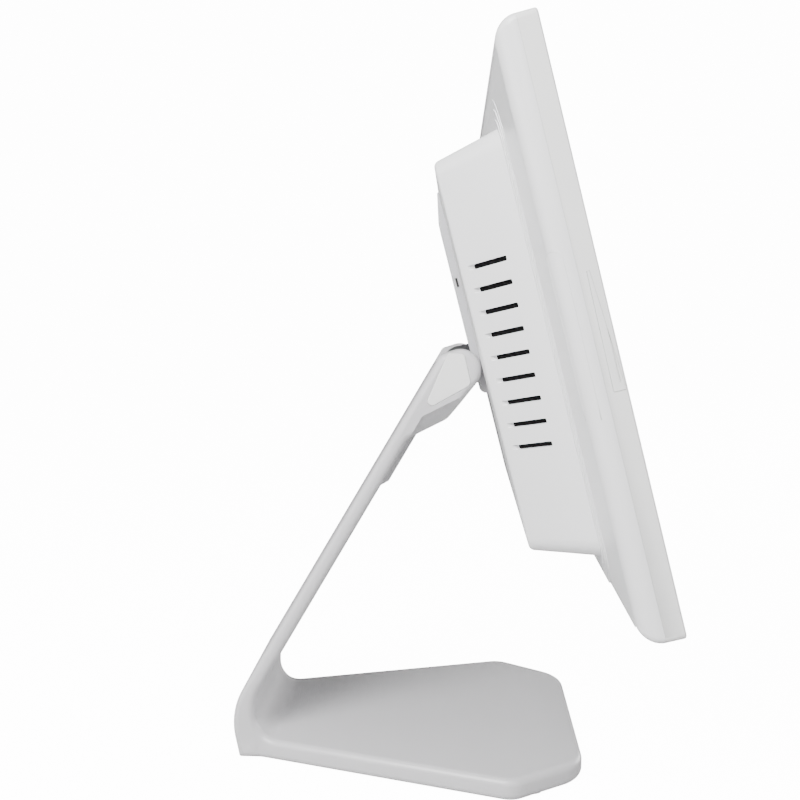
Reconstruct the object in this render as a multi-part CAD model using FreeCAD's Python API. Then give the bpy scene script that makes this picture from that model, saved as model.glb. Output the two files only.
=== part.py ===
"""Digital photo frame: a 15.6 inch screen slab with a vented rear housing, on an L shaped tilting desk stand.

Units are millimetres. +Z is up, -Y is the side that the viewer faces, +X is the viewer's right.
The origin is on the desk, under the middle of the whole object.
The display is drawn upright in its own frame, with the tilt axis on the X axis and depth measured from the
screen's front plane, and is then leaned back about that axis. The stand is drawn where it stands.
"""

import FreeCAD
import Part
import math
import os

V = FreeCAD.Vector

# ---------------------------------------------------------------- driving dimensions, whole object
TILT = 14.4  # the screen leans back this far at rest, degrees
HINGE_Y = -19.0
HINGE_Z = 211.5
GAP = 0.3  # general assembly gap

# ---------------------------------------------------------------- display slab
SLAB_W = 384.0
SLAB_H = 237.0
SLAB_T = 17.0  # thickness at the rim
SLAB_RISE = 10.5  # slab centre above the tilt axis
SLAB_CORNER = 3.0
AXIS_DEPTH = 59.3  # tilt axis behind the front plane
WALL = 2.4
BEZEL_DEPTH = 8.0  # the parting line between bezel and rear cover
BEZEL_FLANGE = 2.6
FRONT_EDGE_R = 1.0
ROLL_R = 8.4  # roll-over of the slab's rear edge
ACTIVE_W = 344.2
ACTIVE_H = 193.6
WINDOW_MARGIN = 1.0
GLASS_T = 2.0
GLASS_W = 356.0
GLASS_H = 207.0
CELL_T = 1.3
LIGHT_T = 2.6
LIGHT_W = 359.0
LIGHT_H = 216.0
CHASSIS_T = 1.0
CHASSIS_W = 370.0
CHASSIS_H = 222.0

# ---------------------------------------------------------------- rear housing
HOUSING_RISE = 6.8  # housing centre above the tilt axis
FOOT_W = 276.0
FOOT_H = 187.0
FOOT_DEPTH = 19.2
BACK_W = 227.0
BACK_H = 179.5
BACK_DEPTH = 48.0
FOOT_CORNER = 9.0
BACK_CORNER = 7.0
BACK_EDGE_R = 3.0
PLINTH_BASE = 1.2
PLINTH_RISE = 0.98
PLINTH_RINGS = 3
PLINTH_RING_W = 4.0
VENTS = 9
VENT_PITCH = 10.2
VENT_H = 2.2
VENT_DEPTHS = (27.9, 44.3)

# ---------------------------------------------------------------- hinge
SHAFT_R = 4.0
RUNNING_GAP = 0.05
KNUCKLE_R = 9.5
KNUCKLE_HALF = 31.0
BRACKET_HALF = 27.0
BRACKET_T = 2.5
BRACKET_TOP = 60.0
BRACKET_BOTTOM = -12.5
BRACKET_SCREWS = [(-18.0, 24.0), (18.0, 24.0), (-18.0, 50.0), (18.0, 50.0)]
COVER_HALF = 31.0
COVER_TOP = 92.0
COVER_BOTTOM = -15.7
COVER_T = 4.1
COVER_RAMP = 16.0
NOTCH_Z = 44.3
INSERT_SPACING = 75.0
INSERT_R = 3.0
INSERT_BORE_R = 1.65
INSERT_LEN = 7.0

# ---------------------------------------------------------------- stand
ARM_ANGLE = 59.6
ARM_BEHIND = 13.0  # arm's rear face behind the tilt axis
ARM_T = 8.0
ARM_HALF = 44.0
RIM_R = 3.7  # rounding of the arm, head and base along every rim
BASE_GAP = 0.7  # the base's rim stands this far off the desk
BASE_TOP = 12.0
BASE_FRONT_Y = -83.8
BASE_FLARE_Y = 88.0
BASE_KINK = (85.5, -46.0)
BASE_CORNER = (60.0, -83.8)
BEND_R = 38.0
HEEL_Y = 99.8
HEEL_ANGLE = 101.6
INNER_Y = 91.0
INNER_ARM_R = 26.0
INNER_BASE_R = 13.0
HEAD_R = 10.7
HEAD_TOP_ANGLE = 18.0
HEAD_CHIN_ANGLE = 51.8
HEAD_CHIN = (-2.9, -24.0)  # forward and up from the tilt axis
HEAD_THROAT_ANGLE = 27.0
CHEEK_INNER = 31.7
CHEEK_WALL = 34.0
TROUGH_R = 10.2
CORE_T = 2.5
CORE_BEHIND = 10.8
CORE_HALF = 37.2
CORE_BASE_Z = 6.6
CORE_BEND_R = 20.0
EAR_T = 3.0
EAR_R = 8.0
CLIP_HALF = 23.0
CLIP_GROOVE_HALF = 3.0
POCKET_R = 7.2
BEVEL_W = 8.0  # bevel under each cheek, across its face
BEVEL_X = 35.0  # and how far in it reaches

# ---------------------------------------------------------------- keys on the right edge
KEY_NAMES = ["power_key", "menu_key", "previous_key", "next_key"]
KEY_TOP = 62.0
KEY_PITCH = 16.0
KEY_DEPTH = 5.2
KEY_H = 9.0
KEY_T = 2.6
KEY_PROUD = 0.9
KEY_TRAVEL = 0.6


# ================================================================ plain shapes
def box(x0, x1, y0, y1, z0, z1):
    return Part.makeBox(x1 - x0, y1 - y0, z1 - z0, V(x0, y0, z0))


def cyl_x(r, x0, x1, y, z):
    return Part.makeCylinder(r, x1 - x0, V(x0, y, z), V(1, 0, 0))


def cyl_y(r, y0, y1, x, z):
    return Part.makeCylinder(r, y1 - y0, V(x, y0, z), V(0, 1, 0))


def cyl_z(r, z0, z1, x, y):
    return Part.makeCylinder(r, z1 - z0, V(x, y, z0), V(0, 0, 1))


def joined(shapes):
    """One solid from overlapping shapes."""
    return shapes[0].multiFuse(shapes[1:]).removeSplitter()


def mirrored(shape):
    return shape.mirror(V(0, 0, 0), V(1, 0, 0))


def rounded_wire(corners, place):
    """A closed wire through 2-D corners (a, b, radius), each turned into a tangent arc.

    place(a, b) gives the point in space of a 2-D point.
    """
    n = len(corners)
    cuts = []
    for i, (a, b, r) in enumerate(corners):
        here = V(a, b, 0)
        before = (V(corners[i - 1][0], corners[i - 1][1], 0) - here).normalize()
        after = (V(corners[(i + 1) % n][0], corners[(i + 1) % n][1], 0) - here).normalize()
        half = before.getAngle(after) / 2
        reach = r / math.tan(half)
        bisector = (before + after).normalize()
        middle = here + bisector * (r / math.sin(half) - r)
        cuts.append((here + before * reach, middle, here + after * reach, r))
    edges = []
    for i, (start, middle, end, r) in enumerate(cuts):
        if r > 0:
            edges.append(Part.Arc(*(place(p.x, p.y) for p in (start, middle, end))).toShape())
        following = cuts[(i + 1) % n][0]
        if (following - end).Length > 1e-6:
            edges.append(Part.LineSegment(place(end.x, end.y), place(following.x, following.y)).toShape())
    return Part.Wire(edges)


def prism_x(corners, x0, x1):
    """Corners are (y, z, radius), extruded along X."""
    wire = rounded_wire(corners, lambda y, z: V(x0, y, z))
    return Part.Face(wire).extrude(V(x1 - x0, 0, 0))


def prism_z(corners, z0, z1):
    """Corners are (x, y, radius), extruded along Z."""
    wire = rounded_wire(corners, lambda x, y: V(x, y, z0))
    return Part.Face(wire).extrude(V(0, 0, z1 - z0))


def meet(p, p_angle, q, q_angle):
    """Where the line through p at p_angle meets the line through q at q_angle, in 2-D, angles in degrees."""
    ux, uy = math.cos(math.radians(p_angle)), math.sin(math.radians(p_angle))
    vx, vy = math.cos(math.radians(q_angle)), math.sin(math.radians(q_angle))
    t = ((q[0] - p[0]) * vy - (q[1] - p[1]) * vx) / (ux * vy - uy * vx)
    return p[0] + t * ux, p[1] + t * uy


# ================================================================ the display's own frame
def at(depth):
    """Y of a depth behind the screen's front plane, in the display's frame."""
    return depth - AXIS_DEPTH


def rect_wire(w, h, r, depth, rise):
    corners = [
        (sx * w / 2, rise + sz * h / 2, r) for sx, sz in ((-1, -1), (1, -1), (1, 1), (-1, 1))
    ]
    return rounded_wire(corners, lambda x, z: V(x, at(depth), z))


def plate(w, h, r, d0, d1, rise):
    """A flat rectangular plate with round corners, from depth d0 to d1."""
    return Part.Face(rect_wire(w, h, r, d0, rise)).extrude(V(0, d1 - d0, 0))


def slab(x0, x1, d0, d1, z0, z1):
    return box(x0, x1, at(d0), at(d1), z0, z1)


def taper(w0, h0, r0, d0, w1, h1, r1, d1, rise):
    return Part.makeLoft([rect_wire(w0, h0, r0, d0, rise), rect_wire(w1, h1, r1, d1, rise)], True, True)


def lean(shape):
    """Leans a display piece back about the tilt axis and lifts it to its place."""
    out = shape.copy()
    out.rotate(V(0, 0, 0), V(1, 0, 0), -TILT)
    out.translate(V(0, HINGE_Y, HINGE_Z))
    return out


def edges_at_depth(shape, depth):
    return [e for e in shape.Edges if all(abs(v.Y - at(depth)) < 1e-3 for v in e.Vertexes)]


def fillet(shape, radius, edges):
    return shape.makeFillet(radius, edges)


# ---------------------------------------------------------------- screen stack
WINDOW_W = ACTIVE_W + 2 * WINDOW_MARGIN
WINDOW_H = ACTIVE_H + 2 * WINDOW_MARGIN
CAVITY_W = SLAB_W - 2 * WALL
CAVITY_H = SLAB_H - 2 * WALL
GLASS_FRONT = BEZEL_FLANGE + 0.1
CELL_FRONT = GLASS_FRONT + GLASS_T + 0.1
LIGHT_FRONT = CELL_FRONT + CELL_T + 0.1
CHASSIS_FRONT = LIGHT_FRONT + LIGHT_T + 0.3
CHASSIS_BACK = CHASSIS_FRONT + CHASSIS_T
PANEL_SCREWS = [(side * 178.0, SLAB_RISE + up * 104.0) for side in (-1, 1) for up in (-1, 1)]
PANEL_HOLE_R = 1.7
STRIP_T = 1.0


def key_z(i):
    return KEY_TOP - i * KEY_PITCH


def slot_cover_corners(grow):
    """Outline of the card slot cover on the left edge, (depth, z), wider at its lower end."""
    return [
        (0.9 - grow, -11.0 - grow, 0.4),
        (5.4 + grow, -11.0 - grow, 0.4),
        (4.9 + grow, 34.0 + grow, 0.4),
        (3.9 - grow, 34.0 + grow, 0.4),
    ]


def side_prism(corners, x0, x1):
    """Corners are (depth, z, radius) in the display's frame, extruded along X."""
    return prism_x([(at(d), z, r) for d, z, r in corners], x0, x1)


def front_bezel():
    outer = plate(SLAB_W, SLAB_H, SLAB_CORNER, 0, BEZEL_DEPTH, SLAB_RISE)
    outer = fillet(outer, FRONT_EDGE_R, edges_at_depth(outer, 0))
    cavity = plate(CAVITY_W, CAVITY_H, 1.0, BEZEL_FLANGE, BEZEL_DEPTH + 1, SLAB_RISE)
    window = plate(WINDOW_W, WINDOW_H, 0.5, -1, BEZEL_DEPTH, SLAB_RISE)
    bevel = taper(
        WINDOW_W + 3.2, WINDOW_H + 3.2, 1.5, -0.4, WINDOW_W - 0.4, WINDOW_H - 0.4, 0.3, 1.6, SLAB_RISE
    )
    out = outer.cut(cavity).cut(window).cut(bevel)
    for i in range(len(KEY_NAMES)):
        out = out.cut(key_opening(i))
    recess = side_prism(slot_cover_corners(0.1), -SLAB_W / 2 - 1, -SLAB_W / 2 + 1.2)
    return out.cut(recess)


def key_opening(i):
    half_h = KEY_H / 2 + 0.25
    half_t = KEY_T / 2 + 0.25
    z = key_z(i)
    return slab(
        SLAB_W / 2 - WALL - 1, SLAB_W / 2 + 1, KEY_DEPTH - half_t, KEY_DEPTH + half_t, z - half_h, z + half_h
    )


def key_cap(i):
    """A side key: a rounded cap through the wall, and a wider foot behind it."""
    z = key_z(i)
    corners = [
        (KEY_DEPTH + sd * KEY_T / 2, z + sz * KEY_H / 2, 1.0)
        for sd, sz in ((-1, -1), (1, -1), (1, 1), (-1, 1))
    ]
    inner = SLAB_W / 2 - WALL
    cap = side_prism(corners, inner - 1.2, SLAB_W / 2 + KEY_PROUD)
    tip = [e for e in cap.Edges if all(v.X > SLAB_W / 2 + KEY_PROUD - 0.01 for v in e.Vertexes)]
    cap = fillet(cap, 0.4, tip)
    foot = slab(inner - 1.5, inner - GAP, KEY_DEPTH - 2.2, KEY_DEPTH + 2.2, z - 6.0, z + 6.0)
    return cap.fuse(foot).removeSplitter()


def key_board():
    """The narrow board behind the side keys, with one tact switch under each key."""
    face = SLAB_W / 2 - WALL - 1.5 - KEY_TRAVEL - 0.1
    low = key_z(len(KEY_NAMES) - 1) - 8
    high = key_z(0) + 8
    parts = [slab(face - 4.0, face - 3.0, 3.0, 7.4, low, high)]
    for i in range(len(KEY_NAMES)):
        z = key_z(i)
        parts.append(slab(face - 3.1, face - 1.0, 3.4, 7.0, z - 3, z + 3))
        parts.append(cyl_x(1.2, face - 1.2, face, at(KEY_DEPTH), z))
    return joined(parts)


def card_slot_cover():
    face = -SLAB_W / 2
    body = side_prism(slot_cover_corners(0), face - 0.25, face + 1.1)
    slit = slab(face - 1, face + 0.5, 2.1, 2.5, -8.0, 12.0)
    return body.cut(slit)


def cover_glass():
    return plate(GLASS_W, GLASS_H, 2.0, GLASS_FRONT, GLASS_FRONT + GLASS_T, SLAB_RISE)


def lcd_panel():
    return plate(GLASS_W - 2, GLASS_H - 2, 1.0, CELL_FRONT, CELL_FRONT + CELL_T, SLAB_RISE)


def backlight_unit():
    back = LIGHT_FRONT + LIGHT_T
    frame = plate(LIGHT_W, LIGHT_H, 1.5, LIGHT_FRONT, back, SLAB_RISE)
    dish = plate(LIGHT_W - 8, LIGHT_H - 8, 1.0, back - 0.6, back + 1, SLAB_RISE)
    return frame.cut(dish)


def chassis_plate():
    """Mid plate that carries the panel on its front and the boards on its back."""
    sheet = plate(CHASSIS_W, CHASSIS_H, 4.0, CHASSIS_FRONT, CHASSIS_BACK, SLAB_RISE)
    cable_slot = slab(-30, 30, CHASSIS_FRONT - 1, CHASSIS_BACK + 1, SLAB_RISE + 62, SLAB_RISE + 70)
    out = sheet.cut(cable_slot)
    for x, z in PANEL_SCREWS:
        out = out.cut(cyl_y(PANEL_HOLE_R, at(CHASSIS_FRONT - 1), at(CHASSIS_BACK + 1), x, z))
    return out


def rear_cover():
    """The slab's back: deep roll-over edge, gentle slope up to the housing, stepped rings round it."""
    outer = plate(SLAB_W, SLAB_H, SLAB_CORNER, BEZEL_DEPTH, SLAB_T, SLAB_RISE)
    outer = fillet(outer, ROLL_R, edges_at_depth(outer, SLAB_T))
    slope = taper(
        SLAB_W - 2 * ROLL_R + 2, SLAB_H - 2 * ROLL_R + 2, 3.0, SLAB_T - 0.05,
        FOOT_W + 26, FOOT_H + 20, 8.0, SLAB_T + 1.3, (SLAB_RISE + HOUSING_RISE) / 2,
    )
    parts = [outer, slope]
    for ring in range(PLINTH_RINGS):
        spread = 2 * PLINTH_RING_W * (PLINTH_RINGS - ring)
        top = SLAB_T + PLINTH_BASE + PLINTH_RISE * (ring + 1) / PLINTH_RINGS
        corner = FOOT_CORNER + spread / 2
        parts.append(plate(FOOT_W + spread, FOOT_H + spread, corner, SLAB_T, top, HOUSING_RISE))
    out = joined(parts)
    room = plate(CAVITY_W, CAVITY_H, 1.0, BEZEL_DEPTH - 1, BEZEL_DEPTH + 1.5, SLAB_RISE)
    deeper = taper(
        CAVITY_W, CAVITY_H, 1.0, BEZEL_DEPTH + 1.4,
        CAVITY_W - 10, CAVITY_H - 10, 2.0, SLAB_T - WALL + 0.4, SLAB_RISE,
    )
    opening = plate(FOOT_W - 12, FOOT_H - 12, 5.0, BEZEL_DEPTH, SLAB_T + 6, HOUSING_RISE)
    return out.cut(room).cut(deeper).cut(opening)


def panel_brackets():
    """Two steel strips, left and right, that tie the chassis plate's screws to the rear cover."""
    out = []
    front = CHASSIS_BACK + 0.05
    for side in (-1, 1):
        x0, x1 = sorted((side * 173, side * 182))
        strip = slab(x0, x1, front, front + STRIP_T, SLAB_RISE - 108, SLAB_RISE + 108)
        for x, z in PANEL_SCREWS:
            strip = strip.cut(cyl_y(PANEL_HOLE_R, at(CHASSIS_FRONT), at(CHASSIS_BACK + 3), x, z))
        out.append(strip)
    return Part.makeCompound(out)


def machine_screw(x, z, head_depth, length, shank_r, head_r, head_t):
    """A pan head screw with a cross recess. Its head stands behind head_depth and its shank runs forwards."""
    top = head_depth + head_t
    head = cyl_y(head_r, at(head_depth), at(top), x, z)
    head = fillet(head, head_t * 0.45, edges_at_depth(head, top))
    shank = cyl_y(shank_r, at(head_depth - length), at(head_depth) + 0.01, x, z)
    blade = head_r * 0.55
    thin = head_r * 0.12
    recess = slab(x - blade, x + blade, top - head_t * 0.5, top + 1, z - thin, z + thin)
    cross = slab(x - thin, x + thin, top - head_t * 0.5, top + 1, z - blade, z + blade)
    return head.fuse(shank).cut(recess).cut(cross).removeSplitter()


def panel_screws():
    depth = CHASSIS_BACK + 0.05 + STRIP_T
    return Part.makeCompound([machine_screw(x, z, depth, 2.2, 1.5, 2.9, 1.4) for x, z in PANEL_SCREWS])


# ---------------------------------------------------------------- rear housing and its hardware
HOUSING_SCREWS = [(sx * 98.0, HOUSING_RISE + sz * 74.0) for sx in (-1, 1) for sz in (-1, 1)]
HOUSING_SCREWS += [(sx * 98.0, HOUSING_RISE) for sx in (-1, 1)]
INSERT_PLACES = [
    (sx * INSERT_SPACING / 2, HOUSING_RISE + sz * INSERT_SPACING / 2) for sx in (-1, 1) for sz in (-1, 1)
]
SCREW_POCKET = 5.0
PORT_DEPTH = 34.0
PORTS = {"dc_inlet": 70.0, "usb_socket": 44.0, "card_socket": 12.0, "audio_jack": -24.0}
FLOOR_Z = HOUSING_RISE - BACK_H / 2  # housing's bottom wall near its back


def housing_body(inset, d0, d1):
    """The housing's tapered block, its walls moved in by inset."""
    share0 = (d0 - FOOT_DEPTH) / (BACK_DEPTH - FOOT_DEPTH)
    share1 = (d1 - FOOT_DEPTH) / (BACK_DEPTH - FOOT_DEPTH)

    def size(share):
        w = FOOT_W + (BACK_W - FOOT_W) * share - 2 * inset
        h = FOOT_H + (BACK_H - FOOT_H) * share - 2 * inset
        r = max(FOOT_CORNER + (BACK_CORNER - FOOT_CORNER) * share - inset, 1.0)
        return w, h, r

    return taper(*size(share0), d0, *size(share1), d1, HOUSING_RISE)


def vent_z(i):
    return HOUSING_RISE + (i - (VENTS - 1) / 2) * VENT_PITCH


def wall_x(depth):
    """Half width of the housing's side wall at a depth."""
    return (FOOT_W + (BACK_W - FOOT_W) * (depth - FOOT_DEPTH) / (BACK_DEPTH - FOOT_DEPTH)) / 2


def vent_slot(i):
    """One slot, cut along the depth axis through a sloping side wall, so its inner end is a step."""
    z = vent_z(i)
    r = 0.5
    half = VENT_H / 2
    xs = (-wall_x(VENT_DEPTHS[0]), -wall_x(VENT_DEPTHS[1]))
    corners = [(xs[0], z - half, r), (xs[1], z - half, r), (xs[1], z + half, r), (xs[0], z + half, r)]
    wire = rounded_wire(corners, lambda x, up: V(x, at(FOOT_DEPTH + 1.5), up))
    return Part.Face(wire).extrude(V(0, BACK_DEPTH, 0))


def port_openings():
    """Cutters through the housing's bottom wall, one for each socket."""
    z0, z1 = FLOOR_Z - 8, FLOOR_Z + 4
    out = [
        cyl_z(4.2, z0, z1, PORTS["dc_inlet"], at(PORT_DEPTH)),
        cyl_z(3.3, z0, z1, PORTS["audio_jack"], at(PORT_DEPTH)),
    ]
    for name, half_w, half_t in (("usb_socket", 7.0, 3.2), ("card_socket", 13.0, 1.6)):
        x = PORTS[name]
        out.append(slab(x - half_w, x + half_w, PORT_DEPTH - half_t, PORT_DEPTH + half_t, z0, z1))
    return out


def rear_housing():
    outer = housing_body(0, FOOT_DEPTH, BACK_DEPTH)
    outer = fillet(outer, BACK_EDGE_R, edges_at_depth(outer, BACK_DEPTH))
    lip = plate(FOOT_W - 13, FOOT_H - 13, 4.5, FOOT_DEPTH - 4.5, FOOT_DEPTH + 1, HOUSING_RISE)
    out = outer.fuse(lip)
    out = out.cut(housing_body(WALL, FOOT_DEPTH + 1.5, BACK_DEPTH - WALL))
    out = out.cut(plate(FOOT_W - 17, FOOT_H - 17, 3.0, FOOT_DEPTH - 6, FOOT_DEPTH + 2, HOUSING_RISE))
    bosses = [cyl_y(4.6, at(BACK_DEPTH - 13), at(BACK_DEPTH - 1), x, z) for x, z in INSERT_PLACES]
    bosses += [cyl_y(4.6, at(BACK_DEPTH - 11), at(BACK_DEPTH - 1), x, z) for x, z in BRACKET_SCREWS]
    bosses += [
        cyl_y(5.2, at(BACK_DEPTH - SCREW_POCKET - WALL), at(BACK_DEPTH - 1), x, z) for x, z in HOUSING_SCREWS
    ]
    out = out.multiFuse(bosses)
    for i in range(VENTS):
        slot = vent_slot(i)
        out = out.cut(slot).cut(mirrored(slot))
    for opening in port_openings():
        out = out.cut(opening)
    for x, z in INSERT_PLACES:
        out = out.cut(cyl_y(INSERT_R, at(BACK_DEPTH - INSERT_LEN), at(BACK_DEPTH + 1), x, z))
    for x, z in BRACKET_SCREWS:
        out = out.cut(cyl_y(2.0, at(BACK_DEPTH - 12), at(BACK_DEPTH + 1), x, z))
    for x, z in HOUSING_SCREWS:
        out = out.cut(cyl_y(3.6, at(BACK_DEPTH - SCREW_POCKET), at(BACK_DEPTH + 1), x, z))
        out = out.cut(cyl_y(1.75, at(BACK_DEPTH - 12), at(BACK_DEPTH + 1), x, z))
    return out.removeSplitter()


def housing_screws():
    depth = BACK_DEPTH - SCREW_POCKET
    return Part.makeCompound([machine_screw(x, z, depth, 12.0, 1.5, 3.0, 1.6) for x, z in HOUSING_SCREWS])


def housing_posts():
    """Posts standing on the chassis plate that the housing screws go into."""
    out = []
    for x, z in HOUSING_SCREWS:
        post = cyl_y(4.0, at(CHASSIS_BACK + 0.05), at(BACK_DEPTH - SCREW_POCKET - WALL - 0.3), x, z)
        out.append(post.cut(cyl_y(1.55, at(BACK_DEPTH - 22), at(BACK_DEPTH), x, z)))
    return Part.makeCompound(out)


def wall_inserts():
    """Threaded brass inserts of the 75 mm square pattern."""
    out = []
    for x, z in INSERT_PLACES:
        body = cyl_y(INSERT_R, at(BACK_DEPTH - INSERT_LEN), at(BACK_DEPTH - 0.2), x, z)
        out.append(body.cut(cyl_y(INSERT_BORE_R, at(BACK_DEPTH - 20), at(BACK_DEPTH + 1), x, z)))
    return Part.makeCompound(out)


def vent_screens():
    """Fine black screens lying inside the two sloping side walls, behind the slots."""
    lift = WALL + 0.15
    skin = housing_body(lift, FOOT_DEPTH + 3, BACK_DEPTH - WALL - 0.3)
    core = housing_body(lift + 0.5, FOOT_DEPTH + 2, BACK_DEPTH)
    low = vent_z(0) - 5
    high = vent_z(VENTS - 1) + 5
    window = slab(-FOOT_W, -BACK_W / 2 + 3.5, VENT_DEPTHS[0] - 2, VENT_DEPTHS[1] + 0.6, low, high)
    left = skin.cut(core).common(window)
    return Part.makeCompound([left.Solids[0], mirrored(left).Solids[0]])


# ---------------------------------------------------------------- hinge bracket and cover
def hinge_bracket():
    """Cast bracket: a plate screwed to the housing, and a knuckle that turns on the shaft."""
    foot = slab(-BRACKET_HALF, BRACKET_HALF, BACK_DEPTH, BACK_DEPTH + BRACKET_T, BRACKET_BOTTOM, BRACKET_TOP)
    neck = slab(-BRACKET_HALF, BRACKET_HALF, BACK_DEPTH + 0.5, AXIS_DEPTH, -KNUCKLE_R, KNUCKLE_R)
    barrel = cyl_x(KNUCKLE_R, -KNUCKLE_HALF, KNUCKLE_HALF, 0, 0)
    out = joined([foot, neck, barrel])
    out = out.cut(cyl_x(SHAFT_R + RUNNING_GAP, -KNUCKLE_HALF - 1, KNUCKLE_HALF + 1, 0, 0))
    for x, z in BRACKET_SCREWS:
        out = out.cut(cyl_y(2.2, at(BACK_DEPTH - 1), at(BACK_DEPTH + BRACKET_T + 1), x, z))
    return out


def bracket_screws():
    depth = BACK_DEPTH + BRACKET_T
    return Part.makeCompound([machine_screw(x, z, depth, 11.0, 1.95, 3.4, 1.1) for x, z in BRACKET_SCREWS])


def bracket_cover():
    """Raised cover over the bracket's plate: ramped top, rounded lower end, a pry notch in each side."""
    d0 = BACK_DEPTH + 0.05
    d1 = BACK_DEPTH + COVER_T
    corners = [
        (d0, COVER_BOTTOM, 0),
        (d1, COVER_BOTTOM, COVER_T * 0.92),
        (d1, COVER_TOP - COVER_RAMP, 12.0),
        (d0 + 0.8, COVER_TOP, 0.6),
        (d0, COVER_TOP, 0),
    ]
    body = side_prism(corners, -COVER_HALF, COVER_HALF)
    upright = [
        e for e in body.Edges
        if abs(abs(e.Vertexes[0].X) - COVER_HALF) < 1e-3
        and all(v.Y > at(d0) + 0.3 for v in e.Vertexes)
        and all(abs(abs(v.X) - COVER_HALF) < 1e-3 for v in e.Vertexes)
        and e.Vertexes[0].X * e.Vertexes[-1].X > 0
    ]
    body = fillet(body, 0.7, upright)
    inside = slab(
        -BRACKET_HALF - 0.5, BRACKET_HALF + 0.5, d0 - 1, BACK_DEPTH + BRACKET_T + 1.25,
        BRACKET_BOTTOM - 0.5, BRACKET_TOP + 0.5,
    )
    window = slab(
        -BRACKET_HALF - 0.5, BRACKET_HALF + 0.5, d0 - 1, d1 + 1, -KNUCKLE_R - 0.5, KNUCKLE_R + 0.5
    )
    barrel_room = cyl_x(KNUCKLE_R + GAP, -COVER_HALF - 1, COVER_HALF + 1, 0, 0)
    out = body.cut(inside).cut(window).cut(barrel_room)
    for side in (-1, 1):
        x0, x1 = sorted((side * (COVER_HALF - 1.2), side * (COVER_HALF + 1)))
        out = out.cut(slab(x0, x1, BACK_DEPTH + 1.4, BACK_DEPTH + 2.6, NOTCH_Z - 2.5, NOTCH_Z + 2.5))
    return out


# ---------------------------------------------------------------- electronics
BOARD_T = 1.6
BOARD_DEPTH = 29.0
MAIN_BOARD = (-60.0, 90.0, -74.0, 28.0)  # x0, x1, z0, z1
ANTENNA_X = -26.0
DRIVER_BOARD = (-92.0, -66.0, -74.0, 6.0)


def board(x0, x1, z0, z1):
    return slab(x0, x1, BOARD_DEPTH, BOARD_DEPTH + BOARD_T, z0, z1)


def board_holes(rect):
    x0, x1, z0, z1 = rect
    return [(x0 + 4, z0 + 4), (x1 - 4, z0 + 4), (x0 + 4, z1 - 4), (x1 - 4, z1 - 4)]


def main_board():
    x0, x1, z0, z1 = MAIN_BOARD
    parts = [board(x0, x1, z0, z1)]
    back = BOARD_DEPTH + BOARD_T - 0.05
    chips = [(12, -30, 16, 16, 1.6), (44, -26, 12, 12, 1.2), (-4, -8, 14, 10, 1.2), (62, -52, 8, 8, 2.0)]
    for x, z, w, h, t in chips:
        parts.append(slab(x - w / 2, x + w / 2, back, back + t, z - h / 2, z + h / 2))
    for i in range(4):
        parts.append(cyl_y(3.0, at(back), at(back + 8), 56 + 7.5 * i, 8))
    out = joined(parts)
    for x, z in board_holes(MAIN_BOARD):
        out = out.cut(cyl_y(1.7, at(BOARD_DEPTH - 1), at(back + 9), x, z))
    return out


def driver_board():
    x0, x1, z0, z1 = DRIVER_BOARD
    back = BOARD_DEPTH + BOARD_T - 0.05
    parts = [board(x0, x1, z0, z1)]
    parts.append(slab(-89, -73, back, back + 7, -60, -44))
    parts.append(slab(-88, -70, back, back + 3, -20, -8))
    for i in range(3):
        parts.append(cyl_y(2.5, at(back), at(back + 7), -87 + 8 * i, -34))
    out = joined(parts)
    for x, z in board_holes(DRIVER_BOARD):
        out = out.cut(cyl_y(1.7, at(BOARD_DEPTH - 1), at(back + 9), x, z))
    return out


def heat_sink():
    """Finned block on the main chip."""
    front = BOARD_DEPTH + BOARD_T + 1.6
    parts = [slab(-3, 27, front, front + 2, -45, -15)]
    for i in range(8):
        x = -2.4 + i * 4.0
        parts.append(slab(x, x + 1.2, front + 1.9, front + 8, -45, -15))
    return joined(parts)


def board_standoffs():
    places = board_holes(MAIN_BOARD) + board_holes(DRIVER_BOARD)
    out = []
    for x, z in places:
        post = cyl_y(3.0, at(CHASSIS_BACK + 0.05), at(BOARD_DEPTH - 0.05), x, z)
        out.append(post.cut(cyl_y(1.45, at(BOARD_DEPTH - 9), at(BOARD_DEPTH), x, z)))
    return Part.makeCompound(out)


def board_screws():
    places = board_holes(MAIN_BOARD) + board_holes(DRIVER_BOARD)
    depth = BOARD_DEPTH + BOARD_T + 0.05
    return Part.makeCompound([machine_screw(x, z, depth, 7.0, 1.4, 2.7, 1.3) for x, z in places])


def ribbon_cable():
    """Flat panel cable: up the back of the main board, over and down through the chassis slot."""
    top = MAIN_BOARD[3]
    high = SLAB_RISE + 66
    parts = [
        slab(-12, 12, BOARD_DEPTH + BOARD_T + 0.6, BOARD_DEPTH + BOARD_T + 1.2, top - 12, top + 18),
        slab(-12, 12, CHASSIS_BACK + 4.0, BOARD_DEPTH + BOARD_T + 1.2, top + 17.4, top + 18),
        slab(-12, 12, CHASSIS_BACK + 4.0, CHASSIS_BACK + 4.6, top + 17.4, high + 0.6),
        slab(-12, 12, CHASSIS_FRONT + 0.1, CHASSIS_BACK + 4.6, high, high + 0.6),
        slab(-14, 14, BOARD_DEPTH + BOARD_T + 0.1, BOARD_DEPTH + BOARD_T + 2.4, top - 16, top - 11),
    ]
    return joined(parts)


SPEAKER_X = 74.0
SPEAKER_Z = HOUSING_RISE + 54.0


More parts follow.
